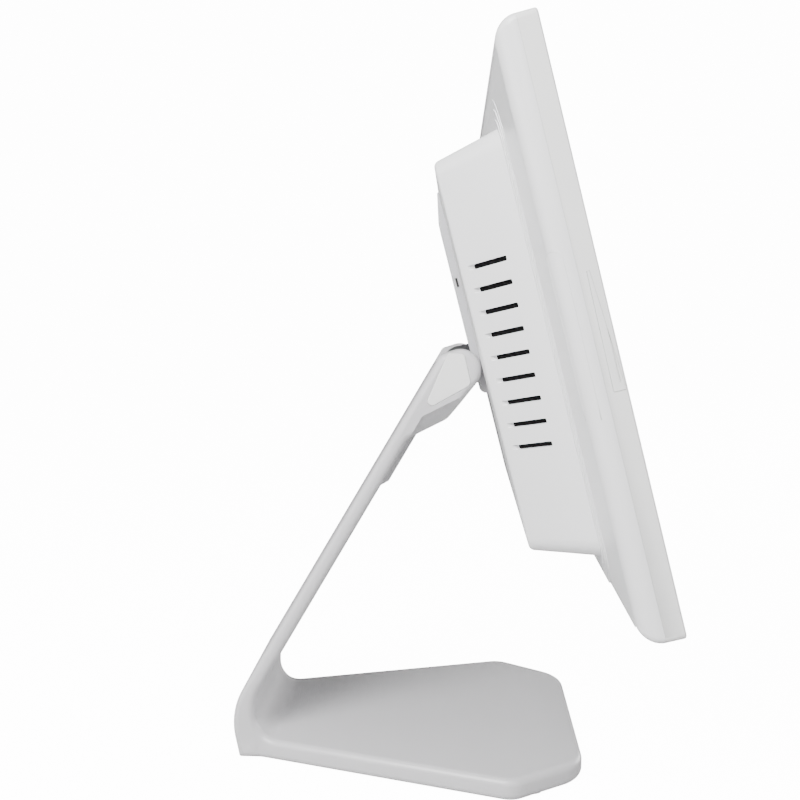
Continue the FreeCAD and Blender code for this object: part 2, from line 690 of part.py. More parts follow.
def speaker(side):
    """Boxed speaker with a round cone, in an upper corner of the housing."""
    x = side * SPEAKER_X
    z = SPEAKER_Z
    case = slab(x - 21, x + 21, 26.0, 36.0, z - 15, z + 15)
    case = fillet(case, 2.0, [e for e in case.Edges if abs(e.Vertexes[0].Y - e.Vertexes[-1].Y) > 9])
    cone = Part.makeCone(11.0, 5.0, 4.0, V(x, at(36.0), z), V(0, -1, 0))
    dome = Part.makeSphere(5.0, V(x, at(31.0), z))
    return case.cut(cone).fuse(dome.common(slab(x - 6, x + 6, 31.8, 35.5, z - 6, z + 6))).removeSplitter()


def speaker_posts():
    """Rubber bushed posts that hold the speakers off the chassis plate."""
    out = []
    for side in (-1, 1):
        for dx in (-16, 16):
            out.append(cyl_y(3.0, at(CHASSIS_BACK + 0.05), at(25.95), side * SPEAKER_X + dx, SPEAKER_Z))
    return Part.makeCompound(out)


def wireless_antenna():
    parts = [
        slab(-38, 6, 38.0, 38.8, HOUSING_RISE + 70, HOUSING_RISE + 78),
        slab(ANTENNA_X - 4, ANTENNA_X + 4, 38.7, 40.2, HOUSING_RISE + 71, HOUSING_RISE + 77),
        cyl_z(0.7, 24, HOUSING_RISE + 74, ANTENNA_X, at(39.6)),
        cyl_y(1.4, at(BOARD_DEPTH + BOARD_T + 0.1), at(40.4), ANTENNA_X, 24),
    ]
    return joined(parts)


def dc_inlet():
    """Barrel inlet: a housing on the board, a round mouth in the bottom wall and a centre pin."""
    x = PORTS["dc_inlet"]
    body = slab(x - 4.5, x + 4.5, PORT_DEPTH - 3.35, PORT_DEPTH + 5.5, FLOOR_Z + 3.0, FLOOR_Z + 14)
    mouth = cyl_z(3.9, FLOOR_Z + 0.3, FLOOR_Z + 4, x, at(PORT_DEPTH))
    bore = cyl_z(2.85, FLOOR_Z, FLOOR_Z + 10.5, x, at(PORT_DEPTH))
    pin = cyl_z(1.0, FLOOR_Z + 1.2, FLOOR_Z + 11, x, at(PORT_DEPTH))
    return joined([body.fuse(mouth).cut(bore), pin])


def usb_socket():
    x = PORTS["usb_socket"]
    shell = slab(x - 6.6, x + 6.6, PORT_DEPTH - 2.85, PORT_DEPTH + 2.85, FLOOR_Z + 0.4, FLOOR_Z + 14)
    inside = slab(x - 6.25, x + 6.25, PORT_DEPTH - 2.5, PORT_DEPTH + 2.5, FLOOR_Z - 1, FLOOR_Z + 12)
    tongue = slab(x - 5.6, x + 5.6, PORT_DEPTH - 1.9, PORT_DEPTH - 0.1, FLOOR_Z + 3, FLOOR_Z + 12.5)
    return joined([shell.cut(inside), tongue])


def card_socket():
    x = PORTS["card_socket"]
    shell = slab(x - 14, x + 14, PORT_DEPTH - 1.9, PORT_DEPTH + 1.9, FLOOR_Z + 3.4, FLOOR_Z + 26)
    slot = slab(x - 12.2, x + 12.2, PORT_DEPTH - 1.2, PORT_DEPTH + 1.2, FLOOR_Z, FLOOR_Z + 25)
    return shell.cut(slot)


def audio_jack():
    x = PORTS["audio_jack"]
    body = slab(x - 3.5, x + 3.5, PORT_DEPTH - 3.3, PORT_DEPTH + 2.8, FLOOR_Z + 3.0, FLOOR_Z + 14)
    collar = cyl_z(3.0, FLOOR_Z + 0.4, FLOOR_Z + 4, x, at(PORT_DEPTH))
    bore = cyl_z(1.8, FLOOR_Z, FLOOR_Z + 13, x, at(PORT_DEPTH))
    return body.fuse(collar).cut(bore).removeSplitter()


# ================================================================ the stand
def from_axis(forward, up):
    """A (y, z) point of the stand from its distances forward of and above the tilt axis."""
    return HINGE_Y - forward, HINGE_Z + up


def behind_line(distance):
    """A (y, z) point on the line parallel to the arm, that far behind the tilt axis."""
    a = math.radians(ARM_ANGLE)
    return from_axis(-distance * math.sin(a), distance * math.cos(a))


ARM_DIR = 180.0 - ARM_ANGLE  # the arm's direction in the Y-Z plane, going up
FRONT_BEHIND = ARM_BEHIND - ARM_T
REAR_POINT = behind_line(ARM_BEHIND)
FRONT_POINT = behind_line(FRONT_BEHIND)


def head_lines():
    """Corners of the head's side profile, in order from the arm's rear face round to its front face."""
    top_normal = math.radians(90 + HEAD_TOP_ANGLE)
    chin_normal = math.radians(HEAD_CHIN_ANGLE - 90)
    top = from_axis(HEAD_R * math.cos(top_normal), HEAD_R * math.sin(top_normal))
    chin = from_axis(HEAD_R * math.cos(chin_normal), HEAD_R * math.sin(chin_normal))
    crown = meet(REAR_POINT, ARM_DIR, top, 180 - HEAD_TOP_ANGLE)
    nose = meet(top, 180 - HEAD_TOP_ANGLE, chin, 180 - HEAD_CHIN_ANGLE)
    low = from_axis(*HEAD_CHIN)
    jaw = meet(chin, 180 - HEAD_CHIN_ANGLE, low, 180 - HEAD_THROAT_ANGLE)
    throat = meet(low, 180 - HEAD_THROAT_ANGLE, FRONT_POINT, ARM_DIR)
    return crown, nose, jaw, throat


def stand_profile():
    """The whole L as (y, z, radius) corners: base front, base top, inner bend, arm, head, heel."""
    crown, nose, jaw, throat = head_lines()
    heel = (HEEL_Y, BASE_GAP)
    outer = meet(REAR_POINT, ARM_DIR, heel, HEEL_ANGLE - 2 * (HEEL_ANGLE - 90))
    inner = meet(FRONT_POINT, ARM_DIR, (INNER_Y, 0), 90)
    return [
        (BASE_FRONT_Y, BASE_GAP, 0),
        (BASE_FRONT_Y, BASE_TOP, 0),
        (INNER_Y, BASE_TOP, INNER_BASE_R),
        (*inner, INNER_ARM_R),
        (*throat, 6.0),
        (*jaw, 9.0),
        (*nose, HEAD_R),
        (*crown, 3.0),
        (*outer, BEND_R),
        (*heel, 1.0),
    ]


def base_outline(inset):
    """Plan outline of the base, (x, y, radius), its edge moved in by inset."""
    right = [
        (ARM_HALF - inset, HEEL_Y + 20, 0),
        (ARM_HALF - inset, BASE_FLARE_Y - inset, 12.0),
        (BASE_KINK[0] - inset, BASE_KINK[1], 14.0 - inset),
        (BASE_CORNER[0] - inset * 0.6, BASE_CORNER[1] + inset, 24.0 - inset),
    ]
    return right + [(-x, y, r) for x, y, r in reversed(right)]


def cheek_bevel():
    """Cutter for the wide bevel under the left cheek, which stops at the arm's front face."""
    jaw, throat = head_lines()[2:]
    along = (V(0, *jaw) - V(0, *throat)).normalize()
    outward = V(0, along.z, -along.y)
    if outward.z > 0:
        outward = outward * -1
    start = V(0, *throat) - along * 30
    corners = [
        start - outward * BEVEL_W * 1.1 + V(-ARM_HALF - 1, 0, 0),
        start + outward * 0.8 + V(-BEVEL_X, 0, 0),
        start + outward * 12 + V(-BEVEL_X, 0, 0),
        start + outward * 12 + V(-ARM_HALF - 1, 0, 0),
    ]
    wedge = Part.Face(Part.makePolygon(corners + [corners[0]])).extrude(along * 70)
    low = behind_line(FRONT_BEHIND)
    behind = [
        (*meet(low, ARM_DIR, (0, 120), 0), 0),
        (*meet(low, ARM_DIR, (0, 260), 0), 0),
        (150.0, 260.0, 0),
        (150.0, 120.0, 0),
    ]
    return wedge.cut(prism_x(behind, -ARM_HALF - 5, 0))


def head_cap_corners(grow):
    """Outline of the flat cap on each side of the head, (forward, up) from the tilt axis."""
    outline = [(-6.6, 9.0), (1.8, 8.8), (5.6, -7.2), (-19.6, -21.4)]
    radii = [2.0, 2.5, 3.5, 2.4]
    middle = (-5.0, -5.0)
    out = []
    for (f, u), r in zip(outline, radii):
        reach = math.hypot(f - middle[0], u - middle[1])
        k = 1 + grow / reach
        y, z = from_axis(middle[0] + (f - middle[0]) * k, middle[1] + (u - middle[1]) * k)
        out.append((y, z, r))
    return out


CAP_FACE = ARM_HALF + 0.25
CAP_INNER = ARM_HALF - 1.6


def core_outline(grow):
    """Side profile of the bent steel core, (y, z, radius), thickened by grow on each face."""
    top = behind_line(CORE_BEHIND + grow)
    low = behind_line(CORE_BEHIND - CORE_T - grow)
    outer = meet(top, ARM_DIR, (0, CORE_BASE_Z - grow), 0)
    inner = meet(low, ARM_DIR, (0, CORE_BASE_Z + CORE_T + grow), 0)
    tip_rear = meet(top, ARM_DIR, from_axis(0, -5 + grow), 0)
    tip_front = meet(low, ARM_DIR, from_axis(0, -5 + grow), 0)
    front_y = BASE_FRONT_Y + 40 - grow
    return [
        (front_y, CORE_BASE_Z - grow, 0),
        (front_y, CORE_BASE_Z + CORE_T + grow, 0),
        (*inner, CORE_BEND_R - CORE_T - grow),
        (*tip_front, 0),
        (*tip_rear, 0),
        (*outer, CORE_BEND_R + grow),
    ]


def ear_outline(grow):
    """Side profile of the core's ears: a lobe round the shaft and a leg back to the arm plate."""
    back = behind_line(CORE_BEHIND + grow)
    reach = EAR_R + grow
    up = meet(back, ARM_DIR, from_axis(0, reach), 0)
    down = meet(back, ARM_DIR, from_axis(0, -22 - grow), 0)
    return [
        (*up, 0),
        (*from_axis(reach * 0.95, reach), reach * 0.8),
        (*from_axis(reach * 0.95, -reach), reach * 0.8),
        (*down, 0),
    ]


def ear(grow):
    return prism_x(ear_outline(grow), CORE_HALF - EAR_T - grow, CORE_HALF + grow)


def steel_core():
    """Bent steel plate through base and arm, with two ears that hold the hinge shaft."""
    sheet = prism_x(core_outline(0), -CORE_HALF, CORE_HALF)
    parts = [sheet, ear(0), mirrored(ear(0))]
    out = joined(parts)
    y, z = from_axis(0, 0)
    out = out.cut(cyl_x(TROUGH_R + 0.2, -CORE_HALF + EAR_T, CORE_HALF - EAR_T, y, z))
    return out.cut(cyl_x(SHAFT_R, -CORE_HALF - 1, CORE_HALF + 1, y, z))


def is_side_face(face):
    """Whether a face of the stand's blank belongs to its plan outline and not to its side profile."""
    if isinstance(face.Surface, Part.Cylinder):
        return abs(face.Surface.Axis.z) > 0.99
    if isinstance(face.Surface, Part.Plane):
        return abs(face.normalAt(0, 0).x) > 0.05 or face.BoundBox.YMax < BASE_FRONT_Y + 0.01
    return False


def rim_edges(shape):
    """The edges all round the stand's sides and the base's top, but not those on the underside."""
    found = []
    for e in shape.Edges:
        sides = [is_side_face(f) for f in shape.ancestorsOfType(e, Part.Face)]
        if len(sides) == 2 and sides[0] != sides[1] and e.BoundBox.ZMax > BASE_GAP + 0.01:
            found.append(e)
    return found


def stand_solid():
    """The stand's outer shape before it is hollowed."""
    profile = prism_x(stand_profile(), -120, 120)
    column = box(-ARM_HALF, ARM_HALF, BASE_FLARE_Y - 200, HEEL_Y + 30, BASE_TOP + 14, 260)
    foot = prism_z(base_outline(0), 0, BASE_TOP + 14)
    blank = profile.common(column.fuse(foot)).removeSplitter()
    return fillet(blank, RIM_R, rim_edges(blank))


def arm_cover_corners(grow):
    """Side profile of the arm's front cover, (y, z, radius)."""
    front = behind_line(FRONT_BEHIND)
    back = behind_line(FRONT_BEHIND + 2.0 + grow)
    top = HINGE_Z - 38 + grow
    low = 48.0 - grow
    square = ARM_DIR - 90
    return [
        (*meet(front, ARM_DIR, (meet(front, ARM_DIR, (0, low), 0)), square), 0),
        (*meet(front, ARM_DIR, (meet(front, ARM_DIR, (0, top), 0)), square), 0),
        (*meet(back, ARM_DIR, (meet(front, ARM_DIR, (0, top), 0)), square), 0),
        (*meet(back, ARM_DIR, (meet(front, ARM_DIR, (0, low), 0)), square), 0),
    ]


def knuckle_trough():
    """Room between the cheeks for the knuckle and its neck through the whole tilt."""
    y, z = from_axis(0, 0)
    round_room = cyl_x(TROUGH_R, -CHEEK_INNER, CHEEK_INNER, y, z)
    above = box(-CHEEK_INNER, CHEEK_INNER, y - 40, y + 30, z + 0.5, z + 40)
    ahead = box(-CHEEK_INNER, CHEEK_INNER, y - 40, y + 1.0, z - 19.0, z + 10)
    return joined([round_room, above, ahead])


def stand_shell():
    out = stand_solid()
    bevel = cheek_bevel()
    out = out.cut(bevel).cut(mirrored(bevel))
    out = out.cut(knuckle_trough())
    cavity = prism_z(base_outline(2.6), -1, BASE_TOP - 2.5)
    keep_rear = box(-200, 200, 76.0, 200, -5, 50)
    out = out.cut(cavity.cut(keep_rear))
    out = out.cut(prism_x(core_outline(0.25), -CORE_HALF - 0.3, CORE_HALF + 0.3))
    out = out.cut(prism_x(arm_cover_corners(0.1), -ARM_HALF + 5.9, ARM_HALF - 5.9))
    y, z = from_axis(0, 0)
    for side in (-1, 1):
        slot = ear(0.3)
        cap = prism_x(head_cap_corners(0.1), CAP_INNER - 0.1, CAP_FACE + 2)
        pocket = cyl_x(POCKET_R, CORE_HALF, CAP_INNER - 0.1, y, z)
        mouth = cyl_x(7.7, CHEEK_INNER - 1, CHEEK_WALL + 1, y, z)
        for cutter in (slot, cap, pocket, mouth):
            out = out.cut(cutter if side > 0 else mirrored(cutter))
    return out.removeSplitter()


def arm_front_cover():
    return prism_x(arm_cover_corners(0), -ARM_HALF + 6, ARM_HALF - 6)


def cable_guide():
    """Low block under the head on the arm's front, grooved for a lead, with a bevelled lower end."""
    a = math.radians(ARM_ANGLE)

    def along(up, proud):
        y, z = meet(FRONT_POINT, ARM_DIR, from_axis(0, up), 0)
        return y - proud * math.sin(a), z - proud * math.cos(a)

    def side(corners, half):
        return prism_x([(*along(up, proud), r) for up, proud, r in corners], -half, half)

    body = side([(-30.0, 0.05, 0), (-64.5, 0.05, 0), (-60.0, 3.0, 1.0), (-27.0, 3.0, 0)], CLIP_HALF)
    groove = side([(-20.0, 0.9, 0), (-80.0, 0.9, 0), (-80.0, 8.0, 0), (-20.0, 8.0, 0)], CLIP_GROOVE_HALF)
    return body.cut(groove).cut(prism_x(stand_profile(), -60, 60))


def base_weight():
    """Flat steel plate glued under the base top; the cover's screws thread into it."""
    sheet = prism_z(base_outline(8.0), 2.75, CORE_BASE_Z - 0.05)
    sheet = sheet.cut(box(-200, 200, 74.5, 200, -5, 50))
    for x, y in BASE_SCREW_PLACES:
        sheet = sheet.cut(cyl_z(1.4, 0, 9, x, y))
    return sheet


def base_cover():
    """Thin cover screwed on under the base, with wells for the feet and the screw heads."""
    sheet = prism_z(base_outline(2.9), BASE_GAP, 2.65).cut(box(-200, 200, 75.6, 200, -5, 50))
    for x, y in FOOT_PLACES:
        sheet = sheet.cut(cyl_z(6.3, -1, 1.6, x, y))
    for x, y in BASE_SCREW_PLACES:
        sheet = sheet.cut(cyl_z(2.6, -1, 1.9, x, y)).cut(cyl_z(1.6, 0, 4, x, y))
    return sheet


FOOT_PLACES = [(-68.0, -56.0), (68.0, -56.0), (-34.0, 62.0), (34.0, 62.0)]
BASE_SCREW_PLACES = [
    (side * x, y) for x, y in ((50.0, -70.0), (58.0, -8.0), (24.0, 68.0)) for side in (-1, 1)
]


def rubber_feet():
    out = []
    for x, y in FOOT_PLACES:
        pad = cyl_z(6.0, 0, 1.55, x, y)
        ring = [e for e in pad.Edges if all(abs(v.Z) < 1e-3 for v in e.Vertexes)]
        out.append(fillet(pad, 0.4, ring))
    return Part.makeCompound(out)


def base_screws():
    out = []
    for x, y in BASE_SCREW_PLACES:
        head = cyl_z(2.4, BASE_GAP + 0.2, 1.85, x, y)
        shank = cyl_z(1.35, 1.8, CORE_BASE_Z - 0.4, x, y)
        body = head.fuse(shank)
        for half_x, half_y in ((1.4, 0.3), (0.3, 1.4)):
            body = body.cut(box(x - half_x, x + half_x, y - half_y, y + half_y, 0, 1.4))
        out.append(body.removeSplitter())
    return Part.makeCompound(out)


def head_cap(side):
    cap = prism_x(head_cap_corners(0), CAP_INNER, CAP_FACE)
    rim = [e for e in cap.Edges if all(abs(v.X - CAP_FACE) < 1e-3 for v in e.Vertexes)]
    cap = fillet(cap, 0.5, rim)
    return cap if side > 0 else mirrored(cap)


def hinge_shaft():
    y, z = from_axis(0, 0)
    half = CAP_INNER - 0.6
    rod = cyl_x(SHAFT_R - 0.02, -half, half, y, z)
    ends = [e for e in rod.Edges if len(e.Vertexes) == 1 and abs(abs(e.Vertexes[0].X) - half) < 1e-3]
    return rod.makeChamfer(0.6, ends)


def ring(r_out, r_in, x0, x1):
    y, z = from_axis(0, 0)
    return cyl_x(r_out, x0, x1, y, z).cut(cyl_x(r_in, x0 - 1, x1 + 1, y, z))


def pair(make):
    return Part.makeCompound([make, mirrored(make)])


def friction_bushes():
    inner = KNUCKLE_HALF + 0.1
    return pair(ring(7.4, SHAFT_R + 0.02, inner, CORE_HALF - EAR_T - 0.05))


def spring_washers():
    start = CORE_HALF + 0.05
    parts = [ring(6.8, SHAFT_R + 0.1, start + i * 0.65, start + i * 0.65 + 0.6) for i in range(2)]
    return Part.makeCompound(parts + [mirrored(p) for p in parts])


def lock_nuts():
    y, z = from_axis(0, 0)
    start = CORE_HALF + 1.4
    side = 6.0
    corners = []
    for i in range(6):
        a = math.radians(60 * i)
        corners.append((y + side * math.cos(a), z + side * math.sin(a), 0))
    nut = prism_x(corners, start, start + 3.0)
    return pair(nut.cut(cyl_x(SHAFT_R + 0.02, 0, 60, y, z)))


# ================================================================ all pieces
DISPLAY = {
    "front_bezel": front_bezel,
    "cover_glass": cover_glass,
    "lcd_panel": lcd_panel,
    "backlight_unit": backlight_unit,
    "chassis_plate": chassis_plate,
    "panel_brackets": panel_brackets,
    "panel_screws": panel_screws,
    "rear_cover": rear_cover,
    "rear_housing": rear_housing,
    "housing_posts": housing_posts,
    "housing_screws": housing_screws,
    "wall_inserts": wall_inserts,
    "vent_screens": vent_screens,
    "hinge_bracket": hinge_bracket,
    "bracket_screws": bracket_screws,
    "bracket_cover": bracket_cover,
    "main_board": main_board,
    "driver_board": driver_board,
    "heat_sink": heat_sink,
    "board_standoffs": board_standoffs,
    "board_screws": board_screws,
    "ribbon_cable": ribbon_cable,
    "speaker_left": lambda: speaker(-1),
    "speaker_right": lambda: speaker(1),
    "speaker_posts": speaker_posts,
    "wireless_antenna": wireless_antenna,
    "dc_inlet": dc_inlet,
    "usb_socket": usb_socket,
    "card_socket": card_socket,
    "audio_jack": audio_jack,
    "key_board": key_board,
    "card_slot_cover": card_slot_cover,
}

STAND = {
    "stand_shell": stand_shell,
    "arm_front_cover": arm_front_cover,
    "steel_core": steel_core,
    "base_weight": base_weight,
    "base_cover": base_cover,
    "base_screws": base_screws,
    "rubber_feet": rubber_feet,
    "cable_guide": cable_guide,
    "hinge_shaft": hinge_shaft,
    "friction_bushes": friction_bushes,
    "spring_washers": spring_washers,
    "lock_nuts": lock_nuts,
    "head_cap_left": lambda: head_cap(-1),
    "head_cap_right": lambda: head_cap(1),
}


def build():
    """Every node by name, in its place."""
    out = {name: lean(make()) for name, make in DISPLAY.items()}
    for i, name in enumerate(KEY_NAMES):
        out[name] = lean(key_cap(i))
    out.update({name: make() for name, make in STAND.items()})
    return out


def main():
    os.makedirs("parts", exist_ok=True)
    for name, shape in build().items():
        solids = shape.Solids
        ok = all(s.isValid() for s in solids)
        b = shape.BoundBox
        print(
            f"{name:18s} solids {len(solids):2d} valid {ok} volume {shape.Volume / 1000:9.2f} cm3"
            f"  x {b.XMin:7.1f} {b.XMax:7.1f}  y {b.YMin:7.1f} {b.YMax:7.1f}  z {b.ZMin:6.1f} {b.ZMax:6.1f}"
        )
        shape.exportStep(f"parts/{name}.step")


main()
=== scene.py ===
"""Looks of a digital photo frame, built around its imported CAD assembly.

Named dimensions are millimetres and meshes are metres. +Z is up, -Y is the side the viewer faces.
Everything that belongs to the display is drawn in the display's own upright frame, as x, depth behind
the screen's front and height above the tilt axis, and is then leaned back.
"""

import math
from dataclasses import dataclass, field
from enum import Enum

import bmesh
import bpy
from mathutils import Matrix, Vector


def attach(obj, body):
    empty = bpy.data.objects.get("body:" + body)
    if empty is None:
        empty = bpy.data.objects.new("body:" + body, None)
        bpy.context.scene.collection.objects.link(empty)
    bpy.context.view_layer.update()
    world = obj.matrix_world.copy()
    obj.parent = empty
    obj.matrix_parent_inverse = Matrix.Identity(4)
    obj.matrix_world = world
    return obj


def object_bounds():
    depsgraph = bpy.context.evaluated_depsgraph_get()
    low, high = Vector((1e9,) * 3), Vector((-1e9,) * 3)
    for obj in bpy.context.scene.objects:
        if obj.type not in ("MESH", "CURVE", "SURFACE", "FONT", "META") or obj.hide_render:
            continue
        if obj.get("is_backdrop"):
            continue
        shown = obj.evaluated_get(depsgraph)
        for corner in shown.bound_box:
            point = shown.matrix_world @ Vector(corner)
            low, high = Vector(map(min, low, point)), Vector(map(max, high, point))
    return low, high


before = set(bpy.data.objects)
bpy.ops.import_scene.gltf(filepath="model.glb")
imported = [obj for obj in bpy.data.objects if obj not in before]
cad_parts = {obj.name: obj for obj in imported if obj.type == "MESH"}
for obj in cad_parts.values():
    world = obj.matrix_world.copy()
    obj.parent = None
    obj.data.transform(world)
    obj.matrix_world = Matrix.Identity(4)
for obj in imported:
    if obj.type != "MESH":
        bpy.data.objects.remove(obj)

MM = 0.001

# ------------------------------------------------------------------ shared dimensions, millimetres
TILT = 14.4
HINGE_Y = -19.0
HINGE_Z = 211.5
AXIS_DEPTH = 59.3
SLAB_W = 384.0
SLAB_H = 237.0
SLAB_T = 17.0
SLAB_RISE = 10.5
SLAB_CORNER = 3.0
BEZEL_DEPTH = 8.0
ROLL_R = 8.4
HOUSING_RISE = 6.8
BACK_H = 179.5
BACK_DEPTH = 48.0
PORT_DEPTH = 34.0
FLOOR_Z = HOUSING_RISE - BACK_H / 2
INSERT_SPACING = 75.0
NOTCH_X = 30.5
NOTCH_DEPTH = 50.0
NOTCH_Z = 44.3
KEY_FACE = SLAB_W / 2 + 0.91
KEY_DEPTH = 5.2
KEY_TOP = 62.0
KEY_PITCH = 16.0


class Grain(Enum):
    """The small-scale structure of a surface."""

    POLISHED = "polished"
    SPARKED = "sparked"
    BRUSHED = "brushed"
    CAST = "cast"
    MASKED = "masked"
    WOVEN = "woven"


@dataclass(frozen=True)
class Finish:
    """One real surface finish.

    Args:
        name: what the finish is called.
        colour: sRGB hex of the surface.
        roughness: microfacet roughness.
        grain: the small-scale structure.
        pitch: size of that structure in millimetres.
        depth: bump height in millimetres.
        metallic: 1 for bare metal.
        ior: refractive index of the surface layer.
        coat: weight of a clear upper layer.
        mottle: how far the colour wanders, 0 to 1.
    """

    name: str
    colour: str
    roughness: float
    grain: Grain = Grain.POLISHED
    pitch: float = 1.0
    depth: float = 0.01
    metallic: float = 0.0
    ior: float = 1.5
    coat: float = 0.0
    mottle: float = 0.02


# White ABS from a polished tool: bezel, keys, head caps.
GLOSS_WHITE = Finish("gloss white ABS", "#EDEDEC", 0.16, Grain.POLISHED, 2.4, 0.004, ior=1.54, coat=0.25)
# White ABS from a finely spark-eroded tool: rear cover and housing.
SATIN_WHITE = Finish(
    "satin white ABS", "#EAEAEB", 0.34, Grain.SPARKED, 0.35, 0.006, ior=1.54, mottle=0.015
)
# The stand's ABS: the same white plastic as the display's back, made greyer as painted shade, and a little
# smoother.
STAND_WHITE_PAINTED_SHADE = Finish(
    "satin white stand ABS greyed as painted shade", "#C4C3C5", 0.36, Grain.SPARKED, 0.45, 0.004, ior=1.54, mottle=0.015
)
# Matt white ABS of the cover under the base.
MATT_WHITE = Finish("matt white ABS", "#DDDDDB", 0.55, Grain.SPARKED, 0.6, 0.02, ior=1.54, mottle=0.03)
# Float glass over a black printed border.
BLACK_GLASS = Finish(
    "black backed float glass", "#0B0B0D", 0.04, Grain.POLISHED, 9.0, 0.0005, ior=1.52, coat=0.6
)
# The cell's front polariser.
POLARISER = Finish("polariser film", "#121318", 0.22, Grain.SPARKED, 0.25, 0.001, ior=1.49)
# Black ABS or nylon of connectors, speakers and bushes.
BLACK_PLASTIC = Finish("black nylon", "#19191B", 0.48, Grain.SPARKED, 0.4, 0.015, ior=1.53, mottle=0.06)
# Woven black screen behind the slots.
BLACK_MESH = Finish(
    "black woven polyester", "#050506", 0.8, Grain.WOVEN, 0.6, 0.08, ior=1.2, mottle=0.05
)
# Zinc plated steel of screws, nuts and strips.
ZINC = Finish(
    "zinc plated steel", "#C2C3C6", 0.32, Grain.BRUSHED, 0.3, 0.006, metallic=1.0, ior=2.0, mottle=0.06
)
# Ground or rolled bare steel.
STEEL = Finish(
    "rolled steel", "#8F9092", 0.42, Grain.BRUSHED, 0.5, 0.012, metallic=1.0, ior=2.4, mottle=0.1
)
# Turned brass inserts and stand-offs.
BRASS = Finish(
    "turned brass", "#C9A356", 0.28, Grain.BRUSHED, 0.25, 0.008, metallic=1.0, ior=1.6, mottle=0.05
)
# Die cast aluminium, powder coated dark grey; its darkness is also painted shade for the gap between the
# stand's head and the housing.
CAST_DARK_PAINTED_SHADE = Finish(
    "dark grey powder coated casting with painted shade", "#2F3033", 0.45, Grain.CAST, 0.9, 0.03, ior=1.5, mottle=0.05
)
# The cover over the hinge's plate: the same white moulding as the housing, greyed as painted shade for the
# shade it sits in between the stand's head and the housing.
COVER_PAINTED_SHADE = Finish(
    "satin white ABS greyed as painted shade", "#B4B4B7", 0.38, Grain.SPARKED, 0.4, 0.006, ior=1.54, mottle=0.02
)
# Stamped aluminium sheet.
ALUMINIUM = Finish(
    "mill finish aluminium", "#C9CBCE", 0.36, Grain.BRUSHED, 0.4, 0.01, metallic=1.0, ior=1.4
)
# Black anodised extrusion.
ANODISED = Finish(
    "grey anodised aluminium", "#55575B", 0.4, Grain.BRUSHED, 0.3, 0.008, metallic=1.0, ior=1.4
)
# Green solder mask over copper tracks.
SOLDER_MASK = Finish(
    "green solder mask", "#0F5A34", 0.3, Grain.MASKED, 2.2, 0.02, ior=1.55, coat=0.2, mottle=0.25
)
# White polycarbonate of the backlight's frame.
LIGHT_FRAME = Finish("white polycarbonate", "#E6E6E2", 0.4, Grain.SPARKED, 0.5, 0.01, ior=1.58)
# Amber polyimide film.
POLYIMIDE = Finish("amber polyimide film", "#B4691C", 0.3, Grain.MASKED, 1.2, 0.01, ior=1.7, mottle=0.2)
# Dark elastomer of the feet and bushed posts.
RUBBER = Finish("dark grey rubber", "#2A2A2B", 0.72, Grain.SPARKED, 0.5, 0.03, ior=1.52, mottle=0.08)
# Gold flashed contact springs.
GOLD = Finish("gold flashed contact", "#D9B45A", 0.22, Grain.BRUSHED, 0.2, 0.003, metallic=1.0, ior=1.4)
# Shadowed parting gap between two mouldings.
SEAM = Finish("parting line shadow", "#B9B9BA", 0.6, Grain.SPARKED, 0.5, 0.002, ior=1.5)
# Pale grey printed symbols on the keys.
PRINT = Finish("grey pad print", "#8A8B8D", 0.5, Grain.SPARKED, 0.3, 0.002, ior=1.5)

NODE_FINISH: dict[str, Finish] = {
    "front_bezel": GLOSS_WHITE,
    "cover_glass": BLACK_GLASS,
    "lcd_panel": POLARISER,
    "backlight_unit": LIGHT_FRAME,
    "chassis_plate": ALUMINIUM,
    "panel_brackets": ZINC,
    "panel_screws": ZINC,
    "rear_cover": SATIN_WHITE,
    "rear_housing": SATIN_WHITE,
    "housing_posts": BRASS,
    "housing_screws": ZINC,
    "wall_inserts": BRASS,
    "vent_screens": BLACK_MESH,
    "hinge_bracket": CAST_DARK_PAINTED_SHADE,
    "bracket_screws": ZINC,
    "bracket_cover": COVER_PAINTED_SHADE,
    "main_board": SOLDER_MASK,
    "driver_board": SOLDER_MASK,
    "heat_sink": ANODISED,
    "board_standoffs": BRASS,
    "board_screws": ZINC,
    "ribbon_cable": POLYIMIDE,
    "speaker_left": BLACK_PLASTIC,
    "speaker_right": BLACK_PLASTIC,
    "speaker_posts": RUBBER,
    "wireless_antenna": BLACK_PLASTIC,
    "dc_inlet": BLACK_PLASTIC,
    "usb_socket": ZINC,
    "card_socket": ZINC,
    "audio_jack": BLACK_PLASTIC,
    "key_board": SOLDER_MASK,
    "card_slot_cover": GLOSS_WHITE,
    "power_key": GLOSS_WHITE,
    "menu_key": GLOSS_WHITE,
    "previous_key": GLOSS_WHITE,
    "next_key": GLOSS_WHITE,
    "stand_shell": STAND_WHITE_PAINTED_SHADE,
    "arm_front_cover": STAND_WHITE_PAINTED_SHADE,
    "steel_core": STEEL,
    "base_weight": STEEL,
    "base_cover": MATT_WHITE,
    "base_screws": ZINC,
    "rubber_feet": RUBBER,
    "cable_guide": STAND_WHITE_PAINTED_SHADE,
    "hinge_shaft": STEEL,
    "friction_bushes": BLACK_PLASTIC,
    "spring_washers": STEEL,
    "lock_nuts": ZINC,
    "head_cap_left": GLOSS_WHITE,
    "head_cap_right": GLOSS_WHITE,
}


# ------------------------------------------------------------------ colour and materials
COAT_ROUGHNESS = 0.08
BUMP_STRENGTH = 0.6
WANDER_PITCH = 23.0  # millimetres over which colour and gloss wander
BRUSH_STRETCH = (0.06, 1.0, 1.0)  # brushing runs along X
TRACK_GAP = 0.08


def linear(hex_colour: str) -> tuple[float, float, float, float]:
    """Turns an sRGB hex colour into linear RGBA.

    Args:
        hex_colour: a colour such as "#EDEDEC".

    Returns:
        The linear red, green, blue and an alpha of 1.
    """
    parts = [int(hex_colour[i : i + 2], 16) / 255 for i in (1, 3, 5)]
    low = [c / 12.92 if c <= 0.04045 else ((c + 0.055) / 1.055) ** 2.4 for c in parts]
    return low[0], low[1], low[2], 1.0


